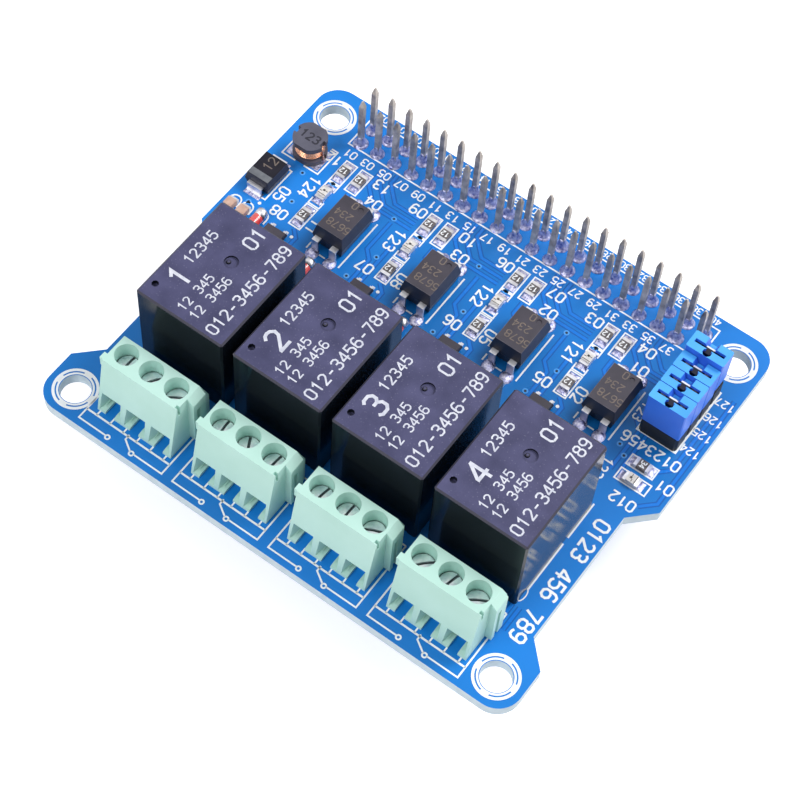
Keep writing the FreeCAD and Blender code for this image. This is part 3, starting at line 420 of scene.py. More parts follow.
INK = ((0.95, 0.96, 0.98), (0.86, 0.91, 0.96))
LINE_WIDE = 0.20
WIRE_LINE = 0.24
BOX_LINE = 0.19
JUMPER_LINE = 0.26
HOLE_PLACES = [(x, y) for x in (-29.0, 29.0) for y in (-24.5, 24.5)]
HOLE_RINGS = ((2.53, 0.34), (2.06, 0.24))
HOLE_TAB_RADIUS = 2.27
HOLE_TAB_HALF = 13
PIN_APART = 2.54
PIN_HALF = 0.32
PINS_LONG = 20
PIN_ONE_DOT = (0.11, 0.22, 8)
FIGURE_STEP = 0.86
FIGURE_WEIGHT = 0.17
FIGURE_MIDDLE = (0.30, 0.50)
FIGURE_LAYER = 0.002
FIGURE_STROKES = {
    "0": [[(.15, 0), (.45, 0), (.6, .17), (.6, .83), (.45, 1), (.15, 1), (0, .83), (0, .17),
           (.15, 0)]],
    "1": [[(.08, .78), (.34, 1.0), (.34, 0)]],
    "2": [[(0, .80), (.14, .96), (.30, 1), (.46, .96), (.6, .80), (.56, .58), (.02, .02)],
          [(-.05, 0), (.62, 0)]],
    "3": [[(.02, .88), (.16, 1), (.44, 1), (.58, .86), (.58, .67), (.44, .54), (.2, .54)],
          [(.44, .54), (.6, .38), (.6, .14), (.44, 0), (.14, 0), (0, .13)]],
    "4": [[(.46, -.05), (.46, 1.05)], [(.44, .98), (0, .32)], [(-.05, .28), (.66, .28)]],
    "5": [[(.57, 1), (.07, 1), (.02, .55), (.2, .62), (.43, .6), (.6, .43), (.6, .16), (.43, 0),
           (.15, 0), (0, .12)]],
    "6": [[(.54, .93), (.4, 1), (.18, 1), (.03, .82), (0, .5), (0, .17), (.15, 0), (.45, 0),
           (.6, .17), (.6, .38), (.45, .55), (.17, .55)], [(.17, .55), (0, .4)]],
    "7": [[(-.02, 1), (.64, 1)], [(.59, .98), (.2, -.04)]],
    "8": [[(.16, .54), (.44, .54), (.57, .67), (.57, .86), (.43, 1), (.17, 1), (.03, .86),
           (.03, .67), (.16, .54)],
          [(.15, 0), (.45, 0), (.6, .15), (.6, .4), (.44, .54), (.16, .54), (0, .4), (0, .15),
           (.15, 0)]],
    "9": [[(.06, .07), (.2, 0), (.42, 0), (.57, .18), (.6, .5), (.6, .83), (.45, 1), (.15, 1),
           (0, .83), (0, .62), (.15, .45), (.43, .45)], [(.43, .45), (.6, .6)]],
    "-": [[(.08, .45), (.52, .45)]],
}


def figure(drawn, weight):
    """One figure, a unit high about its own middle, in strokes of that weight. Each stroke lies a
    hair higher than the last, so that no two share a face."""
    return gathered([
        moved(stroke(np.array(path) - FIGURE_MIDDLE, weight), (0, 0, FIGURE_LAYER * layer))
        for layer, path in enumerate(FIGURE_STROKES[drawn])])


def written(number, place, height, turn=0.0, weight=FIGURE_WEIGHT):
    """A row of figures of that height, centred on a place and turned."""
    middle = (len(number) - 1) / 2
    row = gathered([moved(figure(drawn, weight), ((index - middle) * FIGURE_STEP, 0))
                    for index, drawn in enumerate(number) if drawn in FIGURE_STROKES])
    return moved(row, place, turn, height)


def arc(centre, radius, first, last, steps=12):
    """Points along an arc: the centre plus the radius times the cosine and sine of the angle."""
    angles = np.radians(np.linspace(first, last, steps + 1))
    return np.asarray(centre) + radius * np.column_stack([np.cos(angles), np.sin(angles)])


def ring(centre, radius, width, sides):
    """A closed circle's line, whose middle is at that radius."""
    return stroke(arc(centre, radius, 0, 360 - 360 / sides, sides - 1), width, closed=True)


def boxed(left, right, front, rear, width=BOX_LINE):
    """A closed rectangle's outline."""
    corners = [(left, front), (right, front), (right, rear), (left, rear)]
    return stroke(corners, width, closed=True)


def drawn_lines(paths, width=LINE_WIDE, middle=0.0):
    """Open lines of one width. Their places across are taken from the middle."""
    return [stroke(beside(middle, path), width) for path in paths]


ink = finish_of("white_ink", *INK, 0.42, scale=900.0, grain_scale=6000.0, bump=0.2,
                bump_depth=0.01)
outlines = []

# Rings round the corner holes, joined by short tabs
for place in HOLE_PLACES:
    outlines += [ring(place, radius, width, 48) for radius, width in HOLE_RINGS]
    for turn in (0, 90, 180, 270):
        tab = arc(place, HOLE_TAB_RADIUS, turn - HOLE_TAB_HALF, turn + HOLE_TAB_HALF, 4)
        outlines.append(stroke(tab, LINE_WIDE))

# Header outline
pins_left = low_high("header_pins")[0][0]
HEADER_FRAME = [(-25.3, 22.35), (25.25, 22.35), (25.25, 27.2), (-25.3, 27.2)]
outlines.append(stroke(HEADER_FRAME, LINE_WIDE, closed=True))

# The contacts of each relay, beside its terminal, from the middle of that terminal
CONTACTS_FIRST = -20.38
TERMINALS_APART = 13.4
CONTACT_FRAME = (((-5.95, -20.0), (-5.95, -27.07), (-2.1, -27.07)),
                 ((5.95, -17.85), (5.95, -27.07), (1.95, -27.07)))
CONTACT_WIRE = (((-5.95, -25.65), (5.95, -25.65)),)
CONTACT_ARM = (((0, -25.4), (0, -26.1), (1.4, -27.0)),)
CONTACT_DOTS = ((-1.77, -27.12), (1.66, -27.12))
CONTACT_DOT = (0.27, 0.2, 12)
CONTACT_TICKS = [[(-4.53 + 1.9 * tick, -25.65), (-4.53 + 1.9 * tick, -24.7)] for tick in range(6)]
FRAME_TICKS = (((5.95, -17.85), (5.15, -17.85)), ((5.95, -19.5), (5.15, -19.5)))
for channel in range(CHANNELS):
    middle = CONTACTS_FIRST + TERMINALS_APART * channel
    outlines += drawn_lines(CONTACT_FRAME, middle=middle)
    outlines += drawn_lines(CONTACT_WIRE, WIRE_LINE, middle)
    outlines += drawn_lines(CONTACT_ARM, middle=middle)
    outlines += [ring(place, *CONTACT_DOT) for place in beside(middle, CONTACT_DOTS)]
    outlines += drawn_lines([*CONTACT_TICKS, *FRAME_TICKS], middle=middle)

# Beside the last relay
LAST_RELAY_LINES = (((25.98, -0.9), (25.98, -6.2)), ((25.98, -7.1), (25.98, -14.0)))
outlines += drawn_lines(LAST_RELAY_LINES)
LOOP_HALF = (0.4, 0.9)
LOOP_MIDDLE = (25.83, -14.9)
LOOP_LINE = 0.14
loop = arc((0, 0), 1.0, 0, 345, 23) * LOOP_HALF + LOOP_MIDDLE
outlines.append(stroke(loop, LOOP_LINE, closed=True))
outlines += drawn_lines([[(25.8, -15.9), (25.4, -16.3)]])

# Small parts of each channel, from its column, with a dot for pin one
CHANNEL_BOXES = ((-0.8, 0.8, 16.5, 20.1), (-0.8, 0.8, 8.45, 12.06), (1.5, 3.1, 16.5, 20.15))
LIGHT_FRAMES = (((-0.8, 13.3), (-0.8, 12.3), (0.8, 12.3), (0.8, 13.3)),
                ((-0.8, 15.2), (-0.8, 16.3), (0.8, 16.3), (0.8, 15.2)))
OPTO_LINES = (((7.72, 6.9), (7.72, 14.8)), ((3.0, 6.9), (3.0, 7.9)), ((4.8, 7.0), (5.7, 7.0)))
for channel in range(CHANNELS):
    column = channel_place(channel)
    outlines += [boxed(column + left, column + right, front, rear)
                 for left, right, front, rear in CHANNEL_BOXES]
    outlines += drawn_lines(LIGHT_FRAMES, BOX_LINE, column)
    outlines += drawn_lines(OPTO_LINES, middle=column)
    outlines.append(ring((column + 0.7, 7.04), *PIN_ONE_DOT))

# Jumpers, lone parts, choke, power diode and rear glass parts
JUMPER_FRAME = (((24.6, 12.0), (24.6, 10.14), (29.75, 10.14), (29.75, 20.15)),)
LONE_BOXES = ((26.0, 29.5, 5.6, 7.1), (25.9, 29.9, 3.3, 4.9))
CORNER_LINES = (((-28.9, 16.3), (-30.9, 16.3), (-30.9, 20.4), (-29.9, 20.4)),
                ((-27.6, 16.3), (-25.5, 16.3), (-25.5, 20.4), (-26.4, 20.4)),
                ((-28.75, 14.7), (-28.2, 14.7), (-28.2, 9.4), (-28.75, 9.4)))
ARCH_PLACES = (-31.0, -29.2, -26.95)
ARCH_HALF = 0.75
ARCH_ALONG = (6.4, 7.2)
DIODE_DOT = (-28.4, 8.6)
outlines += drawn_lines(JUMPER_FRAME, JUMPER_LINE)
outlines += [boxed(*box) for box in LONE_BOXES]
outlines += drawn_lines(CORNER_LINES)
outlines.append(ring(DIODE_DOT, *PIN_ONE_DOT))
foot, crown = ARCH_ALONG
arch = [(-ARCH_HALF, foot), *arc((0, crown), ARCH_HALF, 180, 0, 8), (ARCH_HALF, foot)]
for across in ARCH_PLACES:
    outlines += drawn_lines([arch], middle=across)

# Plain numbers. The lone ones are given as text, place, height and turn.
NUMBER_TALL = 1.35
ODD_PINS = (21.2, 1.02)
EVEN_PINS = (28.05, 0.86)
LONE_NUMBERS = (("0123456", (27.4, 8.65), 1.3, 180), ("123", (23.85, 12.4), 1.1, -90),
                ("05", (-27.1, 11.3), 1.35, -90), ("01", (31.2, 5.6), 1.3, 180),
                ("012", (28.3, 1.3), 1.3, 180), ("123", (24.2, 3.6), 1.2, -90),
                ("0123 456 789", (28.2, -11.0), 1.75, -90))


def pin_place(pin):
    """The place along the header of the middle of a pair of pins."""
    return pins_left + PIN_HALF + PIN_APART * pin


for pin in range(PINS_LONG):
    for number, (along, height) in ((2 * pin + 1, ODD_PINS), (2 * pin + 2, EVEN_PINS)):
        outlines.append(written(f"{number:02}", (pin_place(pin), along), height, 180))
for channel in range(CHANNELS):
    for number, aside, along, turn in ((f"{12 - 3 * channel:02}", -2.3, 19.4, 180),
                                       (f"{13 - 3 * channel:02}", 4.9, 19.6, 180),
                                       (f"0{4 - channel}", 5.5, 17.0, 180),
                                       (f"{124 - channel}", -2.05, 14.2, -90),
                                       (f"{11 - 3 * channel:02}", 1.85, 9.8, -90),
                                       (f"0{8 - channel}", -2.65, 8.95, 180)):
        place = (channel_place(channel, aside), along)
        outlines.append(written(number, place, NUMBER_TALL, turn))
for index, along in enumerate((11.3, 13.9, 16.35, 18.95)):
    outlines.append(written(f"{124 + index}", (31.0, along), 0.98, 180))
outlines += [written(*number) for number in LONE_NUMBERS]
flat_piece("white_print", outlines, ink)

# The vias
# Small plated holes under the lacquer. Each shows as a dark dot of painted shade in a pale ring.

VIA_PLACES = ((-27.06, 15.33), (-25.5, 11.17), (-14.3, 16.65), (-12.7, 10.9), (-13.94, 6.6),
              (-2.33, 17.3), (-29.6, 8.0), (-27.5, 8.04), (-23.17, 16.2), (-10.27, 16.3),
              (2.19, 16.3), (14.98, 16.16), (11.09, 15.95), (13.07, 10.9), (11.67, 6.49),
              (-0.14, 10.95), (-1.35, 6.49), (24.1, 7.3), (25.3, 6.3))
VIA_RING = ((0.05, 0.32, 0.84), (0.14, 0.42, 0.88))
VIA_SHADE = ((0.004, 0.010, 0.030), (0.01, 0.02, 0.05))
VIA_RIM = (0.26, 0.2, 16)
VIA_HOLE = (0.085, 0.17, 12)
via_ring = finish_of("lacquered_via", *VIA_RING, 0.2, gloss=LACQUER_GLOSS)
# The dark dot is painted shade standing in for the hole.
via_shade = finish_of("via_hole", *VIA_SHADE, 0.3)
flat_piece("via_rings", [ring(place, *VIA_RIM) for place in VIA_PLACES], via_ring)
flat_piece("via_holes", [ring(place, *VIA_HOLE) for place in VIA_PLACES], via_shade)

# The pin header
# Forty square tin-plated brass pins, pointed, in a black socket under the board. A cone of solder
# holds each at the board's top, and each cone has run a little differently.

TIN = ((0.30, 0.27, 0.25), (0.62, 0.57, 0.53))
SOLDER_AND_BOARD_REFLECTION = ((0.16, 0.18, 0.40), (0.74, 0.72, 0.86))
SOCKET_BLACK = ((0.004, 0.005, 0.006), (0.009, 0.010, 0.012))
PIN_ROWS = (23.23, 25.77)
CONE_PROFILE = ((0.0, 0.0), (0.98, 0.0), (0.98, 0.05), (0.80, 0.20), (0.65, 0.42), (0.54, 0.72),
                (0.46, 1.05), (0.41, 1.4), (0.38, 1.7), (0.0, 1.7))
CONE_SIDES = 16
CONE_SPREAD = (0.88, 1.08)
CONE_TALL = (0.75, 1.15)
CONE_LEAN = 0.09
CONE_LEANS_BELOW = 0.6


def wrapped(grid):
    """The faces over a grid of points whose rows close round an axis."""
    rows, sides = grid.shape[:2]
    row, side = np.meshgrid(np.arange(rows - 1), np.arange(sides), indexing="ij")
    after = (side + 1) % sides
    faces = np.stack([row * sides + side, row * sides + after, (row + 1) * sides + after,
                      (row + 1) * sides + side], 2).reshape(-1, 4)
    return grid.reshape(-1, 3), faces.tolist()


def turned(profile, sides=CONE_SIDES):
    """A profile of radius and height carried round the upright axis: each point is the radius
    times the cosine and sine of the angle, at the profile's height."""
    radius, height = np.asarray(profile, float).T
    angle = np.linspace(0, 2 * np.pi, sides, endpoint=False)
    return wrapped(np.stack([np.outer(radius, np.cos(angle)), np.outer(radius, np.sin(angle)),
                             np.repeat(height[:, None], sides, 1)], 2))


def soldered(name, shapes, height=BOARD_TOP):
    """A smooth piece of solder made of those shapes."""
    new_piece(name, gathered(shapes), solder, smooth=True, height=height)


tin = finish_of("tin_plate", *TIN, 0.46, scale=900.0, grain_scale=1500.0,
                roughness_change=0.14, bump=0.35, bump_depth=0.05, metal=1.0)
# The blue in the solder's colour is a painted reflection of the board.
solder = finish_of("solder", *SOLDER_AND_BOARD_REFLECTION, 0.33, scale=2400.0, grain_scale=3200.0,
                   roughness_change=0.2, bump=1.0, bump_depth=0.14, metal=1.0)
socket = finish_of("socket_plastic", *SOCKET_BLACK, 0.42, scale=900.0, gloss=0.35)
dress(["header_pins", "jumper_pins", "relay_pins", "terminal_contacts"], tin)
dress(["header_socket", "jumper_base"], socket)
chance = np.random.default_rng(7)
cones = []
for pin in range(PINS_LONG):
    for along in PIN_ROWS:
        points, faces = turned(CONE_PROFILE)
        size = chance.uniform(*CONE_SPREAD, 3) * (1, 1, chance.uniform(*CONE_TALL))
        lean = chance.uniform(-CONE_LEAN, CONE_LEAN, 2)
        points = points * size
        points[:, :2] += points[:, 2:] * lean * (points[:, 2:] < CONE_LEANS_BELOW)
        cones.append((points + (pin_place(pin), along, 0), faces))
soldered("header_solder", cones)

# The relays
# Four sealed cases of black nylon. The top has a fine spark-eroded grain, the sides are glossy. A
# small nib stands in the round gate mark. The pale print is plain numbers.

RELAY_TOP = ((0.043, 0.044, 0.104), (0.073, 0.073, 0.160))
RELAY_EDGE_SHADE = (0.035, 0.034, 0.056)
RELAY_EDGE_SHADE_SLANT = 0.7
RELAY_EDGE_SHADE_SPREAD = 0.2
RELAY_SIDE = ((0.004, 0.006, 0.010), (0.007, 0.010, 0.016))
SPECK = (0.34, 0.33, 0.46)
SPECK_SCALE = 2600.0
SPECK_REACH = (0.06, 0.22)
SPECK_SHARE = 0.22
PRINT_GREY = ((0.70, 0.72, 0.80), (0.50, 0.52, 0.62))
RELAY_NUMBERS = (("012-3456-789", 9.75, -7.6, 1.36), ("12 345", 5.35, -11.4, 1.08),
                 ("12 3456", 7.1, -11.0, 1.08), ("12345", 2.05, -6.4, 1.2), ("01", 6.1, -1.95, 1.7))
CHANNEL_NUMBER = (2.7, -10.9, 2.6)
NIB_PLACE = (5.6, -5.95)
NIB_SUNK = 0.3
NIB_PROFILE = ((0.0, 0.0), (0.30, 0.0), (0.24, 0.16), (0.12, 0.22), (0.0, 0.22))
MARK_PROUD = 0.012
MARK_THICK = 0.01
RELAY_MARK_PROUD = 0.015
RELAY_WEIGHT = 0.15


def painted(material, share, colour):
    """Lays a colour over a material's own where the share is one."""
    tree = material.node_tree
    base = tree.nodes["Principled BSDF"].inputs["Base Color"]
    tree.links.new(mixed(tree, share, base.links[0].from_socket, (*colour, 1)), base)


def mark_on(node, name, shapes, material, proud=MARK_PROUD,
            thick=MARK_THICK):
    """A flat print or line on the top of a CAD piece."""
    flat_piece(name, shapes, material, height=top_of(node) + proud, thick=thick)


case = finish_of("relay_case", *RELAY_TOP, 0.46, scale=320.0, grain_scale=5200.0,
                 roughness_change=0.12, bump=0.75, bump_depth=0.03, gloss=0.3)
two_zoned(case, *RELAY_SIDE, 0.10, scale=240.0, bump=0.04)
tree = case.node_tree
specks = add(tree, "TexVoronoi", {"Vector": add(tree, "TexCoord").outputs["Object"],
                                  "Scale": SPECK_SCALE})
bright = add(tree, "MapRange", {"Value": specks.outputs["Distance"], "From Min": SPECK_REACH[1],
                                "From Max": SPECK_REACH[0], "To Max": SPECK_SHARE})
painted(case, reckon(tree, "MULTIPLY", bright.outputs[0], level_share(tree)), SPECK)
# Painted shade: the chamfered edges round the top are coloured darker than the top.
painted(case, reckon(tree, "COMPARE", facing_up(tree), RELAY_EDGE_SHADE_SLANT, RELAY_EDGE_SHADE_SPREAD),
        RELAY_EDGE_SHADE)
case_print = finish_of("case_print", *PRINT_GREY, 0.5, scale=1600.0, grain_scale=5200.0, bump=0.5,
                       bump_depth=0.02)
marks, nibs = [], []
for channel in range(CHANNELS):
    relay = f"relay_{channel + 1}"
    dress([relay], case)
    low, high = low_high(relay)
    left, rear = low[0], high[1]
    for number, aside, along, height in (*RELAY_NUMBERS, (str(channel + 1), *CHANNEL_NUMBER)):
        marks.append(written(number, (left + aside, rear + along), height, 90, RELAY_WEIGHT))
    nibs.append(moved(turned(NIB_PROFILE, 12), (left + NIB_PLACE[0], rear + NIB_PLACE[1])))
mark_on("relay_1", "relay_print", marks, case_print, RELAY_MARK_PROUD)
new_piece("relay_nibs", gathered(nibs), case, smooth=True,
          height=top_of("relay_1") - NIB_SUNK)

# The screw terminals
# Pale green nylon mouldings. Each holds three nickel-plated cages that rise as the screws turn and
# press the wire against the tinned contact bars.

NYLON = ((0.45, 0.71, 0.63), (0.51, 0.77, 0.70))
NICKEL = ((0.66, 0.63, 0.55), (0.76, 0.73, 0.64))
WAYS = 3
nylon = finish_of("green_nylon", *NYLON, 0.38, scale=160.0, grain_scale=4200.0, bump=0.25,
                  bump_depth=0.02, gloss=0.35)
nickel = finish_of("nickel_plate", *NICKEL, 0.24, scale=700.0, metal=1.0)
for channel in range(CHANNELS):
    dress([f"terminal_housing_{channel + 1}"], nylon)
    dress([f"terminal_cage_{channel + 1}_{way + 1}" for way in range(WAYS)], nickel)

# The clamp screws
# Zinc-plated steel screws with low domed heads, a sawn slot and a fine rolled thread. Each slot
# stands as someone last left it.

ZINC = ((0.72, 0.75, 0.82), (0.98, 0.98, 0.99))
SLOT_TURNS = ((92, 58, 30), (97, 118, 88), (84, 90, 24), (47, 78, 33))
HEAD_RADIUS = 1.3
HEAD_RIM_DOWN = 0.14
HEAD_DOME = 0.26
HEAD_TALL = 0.90
HEAD_CHAMFER = 0.07
HEAD_STEPS = (12, 21)
SLOT_HALF = 0.17
SLOT_DEEP = 0.45
SLOT_SHADE = (0.14, 0.15, 0.17)
SLOT_SHADE_FROM = 0.22
SHANK_RADIUS = 1.0
THREAD_PITCH = 0.4
THREAD_DEEP = 0.12
THREAD_STEPS = 6
THREAD_SIDES = 20


def cells(rows, columns):
    """The number of the first point of each cell in an open grid of points."""
    row, column = np.meshgrid(np.arange(rows - 1), np.arange(columns - 1), indexing="ij")
    return row * columns + column


def slotted_head():
    """A domed head with its slot along X. Across the slot, y steps from rim to rim with both slot
    walls doubled. Along it, x is the half chord at that y times a share from -1 to 1. The dome
    falls with the square of the distance from the middle. Copies of the edge make the side."""
    across, along = HEAD_STEPS
    side = np.linspace(SLOT_HALF, HEAD_RADIUS, across)
    y = np.concatenate([-side[::-1], [-SLOT_HALF, SLOT_HALF], side])
    cut = np.concatenate([np.zeros(across), [1, 1], np.zeros(across)])
    share = np.linspace(-1, 1, along)
    x = np.outer(share, np.sqrt(np.maximum(HEAD_RADIUS ** 2 - y ** 2, 0)))
    y = np.broadcast_to(y, x.shape)
    dome = HEAD_DOME * (1 - (x ** 2 + y ** 2) / HEAD_RADIUS ** 2) - HEAD_RIM_DOWN
    height = np.where(cut > 0, -SLOT_DEEP, dome)
    inward = 1 - HEAD_CHAMFER / HEAD_RADIUS
    top = np.stack([x * inward, y * inward, height], 2)
    edge = np.concatenate([np.stack([x[0], y[0], height[0]], 1),
                           np.stack([x[-1], y[-1], height[-1]], 1)[::-1]])
    first, columns = cells(*x.shape), x.shape[1]
    faces = np.stack([first + 1, first + columns + 1, first + columns, first], 2).reshape(-1, 4)
    edge_top = edge * (inward, inward, 1)
    edge_low = edge - (0, 0, HEAD_CHAMFER)
    foot = np.column_stack([edge[:, :2], np.full(len(edge), -HEAD_TALL)])
    middle = foot * (0, 0, 1)
    wall = wrapped(np.stack([edge_top, edge_low, foot, middle]))
    return gathered([(top.reshape(-1, 3), faces.tolist()), wall])


def threaded(length):
    """A shank that hangs below the head. The radius at each height and angle is the crest less the
    thread's depth times how far the height, less the angle's share of a pitch, is from a crest."""
    height = -HEAD_TALL - np.arange(0, length, THREAD_PITCH / THREAD_STEPS)
    angle = np.linspace(0, 2 * np.pi, THREAD_SIDES, endpoint=False)
    phase = (height[:, None] / THREAD_PITCH - angle / (2 * np.pi)) % 1
    radius = SHANK_RADIUS - THREAD_DEEP * np.abs(2 * phase - 1)
    radius = np.concatenate([radius, np.zeros((1, THREAD_SIDES))])
    height = np.append(height, height[-1])
    return wrapped(np.stack([radius * np.cos(angle), radius * np.sin(angle),
                             np.repeat(height[:, None], THREAD_SIDES, 1)], 2))


def place_along(tree, axis):
    """Where a point of the piece lies along one axis, in metres."""
    return add(tree, "SeparateXYZ", {0: add(tree, "TexCoord").outputs["Object"]}).outputs[axis]


zinc = finish_of("zinc_plate", *ZINC, 0.30, scale=1300.0, grain_scale=2200.0,
                 roughness_change=0.2, bump=0.5, bump_depth=0.05, metal=0.5)
# Painted shade: the slot and all of the screw below the rim of its head are darkened.
shade_below = (top_of("terminal_screw_1_1") - SLOT_SHADE_FROM) * MM
painted(zinc, reckon(zinc.node_tree, "LESS_THAN", place_along(zinc.node_tree, "Z"), shade_below),
        SLOT_SHADE)
for channel, turns in enumerate(SLOT_TURNS):
    for way, turn in enumerate(turns):
        which = f"{channel + 1}_{way + 1}"
        low, high = low_high(f"terminal_screw_{which}")
        axis = (low + high) / 2
        shape = gathered([slotted_head(), threaded(high[2] - low[2] - HEAD_TALL)])
        screw = new_piece(f"clamp_screw_{which}_turned", moved(shape, (axis[0], axis[1]), turn),
                          zinc, body=f"clamp_screw_{which}", height=high[2])
        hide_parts(f"terminal_screw_{which}")

# The jumpers
# Four blue caps, matt on top and smooth on the sides, pushed on a double row of pins in a black
# base. The caps' upright sides are painted a darker blue as shade. The spring clip in each is
# painted near black as the shade in its slot, and a band along one edge is a painted highlight.

CAP_TOP = ((0.050, 0.340, 0.860), (0.070, 0.410, 0.920))
CAP_SIDE_SHADE = ((0.030, 0.150, 0.760), (0.045, 0.190, 0.820))
CAPS = 4
CAP_FIRST = 11.39
CLIP_SHADE = (0.004, 0.006, 0.020)
CLIP_HIGHLIGHT = (0.85, 0.86, 0.90)
CLIP_HIGHLIGHT_MIDDLE = 0.41
CLIP_HIGHLIGHT_HALF = 0.11
cap_plastic = finish_of("jumper_plastic", *CAP_TOP, 0.36, scale=240.0, bump=0.15)
# The darker blue of the upright sides is painted shade.
two_zoned(cap_plastic, *CAP_SIDE_SHADE, 0.30)
dress([f"jumper_cap_{cap + 1}" for cap in range(CAPS)], cap_plastic)

# The clip is painted near black as shade in its slot; the band laid over it below is a painted
# highlight.
clip_metal = finish_of("clip_metal", CLIP_SHADE, CLIP_SHADE, 0.35, scale=400.0, gloss=0.3)
tree = clip_metal.node_tree
# How many caps along the row a point lies. The middle of each cap is at a half.
caps_along = reckon(tree, "MULTIPLY_ADD", place_along(tree, "Y"), 1 / (PIN_APART * MM),
                    0.5 - CAP_FIRST / PIN_APART)
edge = reckon(tree, "COMPARE", reckon(tree, "FRACT", caps_along),
              0.5 + CLIP_HIGHLIGHT_MIDDLE / PIN_APART, CLIP_HIGHLIGHT_HALF / PIN_APART)
painted(clip_metal, reckon(tree, "MULTIPLY", edge, level_share(tree)), CLIP_HIGHLIGHT)
dress(["jumper_clips"], clip_metal)

# The optocouplers
# Four-legged bodies moulded in matt purplish black, with a sunk dot at pin one and a laser mark
# of plain numbers. A thin pale line round each top is a painted highlight along its edge. The
# gull-wing legs stand in bright pools of solder.

OPTO_BLACK = ((0.028, 0.024, 0.038), (0.044, 0.038, 0.056))
OPTO_SIDE = ((0.020, 0.021, 0.034), (0.034, 0.036, 0.054))
OPTO_EDGE_HIGHLIGHT = ((0.13, 0.12, 0.15), (0.044, 0.038, 0.056))
LEG_TIN = ((0.52, 0.52, 0.56), (0.74, 0.74, 0.78))
LASER = ((0.19, 0.145, 0.12), (0.12, 0.10, 0.09))
OPTO_ASIDE = 5.3
OPTO_ALONG = 11.05
OPTO_TALL = 0.95
OPTO_WEIGHT = 0.14
OPTO_NUMBERS = (("0", 0.2, 2.1), ("234", -0.2, 0.3), ("5678", 0.3, -1.4))
EDGE_HIGHLIGHT_HALF = (1.79, 2.74)
EDGE_HIGHLIGHT_WIDE = 0.05
RIM_PROUD = 0.008
RIM_THICK = 0.006
POOL_SIZE = (0.80, 1.02, 0.42)
POOL_INSIDE = 0.30
POOL_PROFILE = ((0.0, 0.0), (1.0, 0.0), (0.97, 0.10), (0.86, 0.34), (0.62, 0.70), (0.30, 0.93),
                (0.0, 1.0))
opto_plastic = finish_of("moulded_black", *OPTO_BLACK, 0.44, scale=420.0, grain_scale=6000.0,
                         bump=0.6, bump_depth=0.02)
two_zoned(opto_plastic, *OPTO_SIDE, 0.34, bump=0.3)
leg_tin = finish_of("leg_tin", *LEG_TIN, 0.30, scale=900.0, grain_scale=1800.0, bump=0.4,
                    bump_depth=0.05, metal=1.0)
laser = finish_of("laser_mark", *LASER, 0.6, scale=2400.0)
painted_edge_highlight = finish_of("painted_edge_highlight", *OPTO_EDGE_HIGHLIGHT, 0.4, scale=1200.0)
dress(["optocoupler_bodies", "transistor_bodies"], opto_plastic)
dress(["optocoupler_leads", "transistor_leads", "power_diode_leads", "chip_ends"], leg_tin)
leads_low, leads_high = low_high("optocoupler_leads")
opto_marks, pools, edge_highlights = [], [], []
for channel in range(CHANNELS):
    middle = channel_place(channel, OPTO_ASIDE)
    edge_highlights.append(boxed(middle - EDGE_HIGHLIGHT_HALF[0], middle + EDGE_HIGHLIGHT_HALF[0], OPTO_ALONG - EDGE_HIGHLIGHT_HALF[1],
                      OPTO_ALONG + EDGE_HIGHLIGHT_HALF[1], EDGE_HIGHLIGHT_WIDE))
    for number, aside, along in OPTO_NUMBERS:
        place = (middle + aside, OPTO_ALONG + along)
        opto_marks.append(written(number, place, OPTO_TALL, 180, OPTO_WEIGHT))
    for aside in (-PIN_APART / 2, PIN_APART / 2):
        for along in (leads_low[1] + POOL_INSIDE, leads_high[1] - POOL_INSIDE):
            points, faces = turned(POOL_PROFILE, 20)
            pools.append((points * POOL_SIZE + (middle + aside, along, 0), faces))
mark_on("optocoupler_bodies", "optocoupler_print", opto_marks, laser)
# The pale lines round the tops are painted highlights along the top edges.
mark_on("optocoupler_bodies", "optocoupler_edge_highlights", edge_highlights, painted_edge_highlight, proud=RIM_PROUD,
        thick=RIM_THICK)
soldered("optocoupler_solder", pools)

# The chip resistors, capacitors and status lights
# Bricks of glazed ceramic with tinned ends on tinned pads, and solder up each end. The resistors
# carry two plain figures, the lights a pale lens over a chip.

GLAZE = ((0.055, 0.050, 0.060), (0.17, 0.15, 0.15))
CERAMIC = ((0.50, 0.31, 0.24), (0.62, 0.42, 0.34))
LENS = ((0.62, 0.60, 0.58), (0.80, 0.77, 0.76))
LIGHT_CHIP = ((0.015, 0.015, 0.02), (0.05, 0.04, 0.04))
RESISTORS = ((0, 18.35), (0, 10.25), (2.35, 18.35))
LIGHT = (0, 14.3)
LONE_RESISTOR = (27.75, 6.35)
LONE_LIGHT = (27.75, 4.05)
CHIP_TALL = 0.62
CHIP_WEIGHT = 0.2
PAD_PROUD = 0.02
PAD = (-0.64, 0.64, 0.62, 1.62)
FILLET_PROFILE = ((0.97, 0.44), (1.02, 0.34), (1.10, 0.22), (1.24, 0.12), (1.42, 0.06),
                  (1.60, 0.03))
FILLET_ACROSS = ((-1.16, 0), (-1.0, 0.55), (-0.8, 1), (0.8, 1), (1.0, 0.55), (1.16, 0))
FILLET_HALF = 0.56
LIGHT_MARKS = ((-0.16, 0.12, 0.02, 0.30), (-0.50, -0.16, -0.10, -0.02), (0.14, 0.50, 0.10, 0.18),
               (-0.55, 0.55, -0.50, -0.42))
dress(["chip_resistors"], finish_of("chip_glaze", *GLAZE, 0.3, scale=2200.0))
dress(["chip_capacitors"], finish_of("chip_ceramic", *CERAMIC, 0.4, scale=1500.0))
dress(["status_lights"], finish_of("clear_lens", *LENS, 0.14, scale=2200.0, coat=0.5))


def slab(left, right, front, rear):
    """A flat rectangle."""
    corners = [(left, front, 0), (right, front, 0), (right, rear, 0), (left, rear, 0)]
    return np.array(corners, float), [[0, 1, 2, 3]]


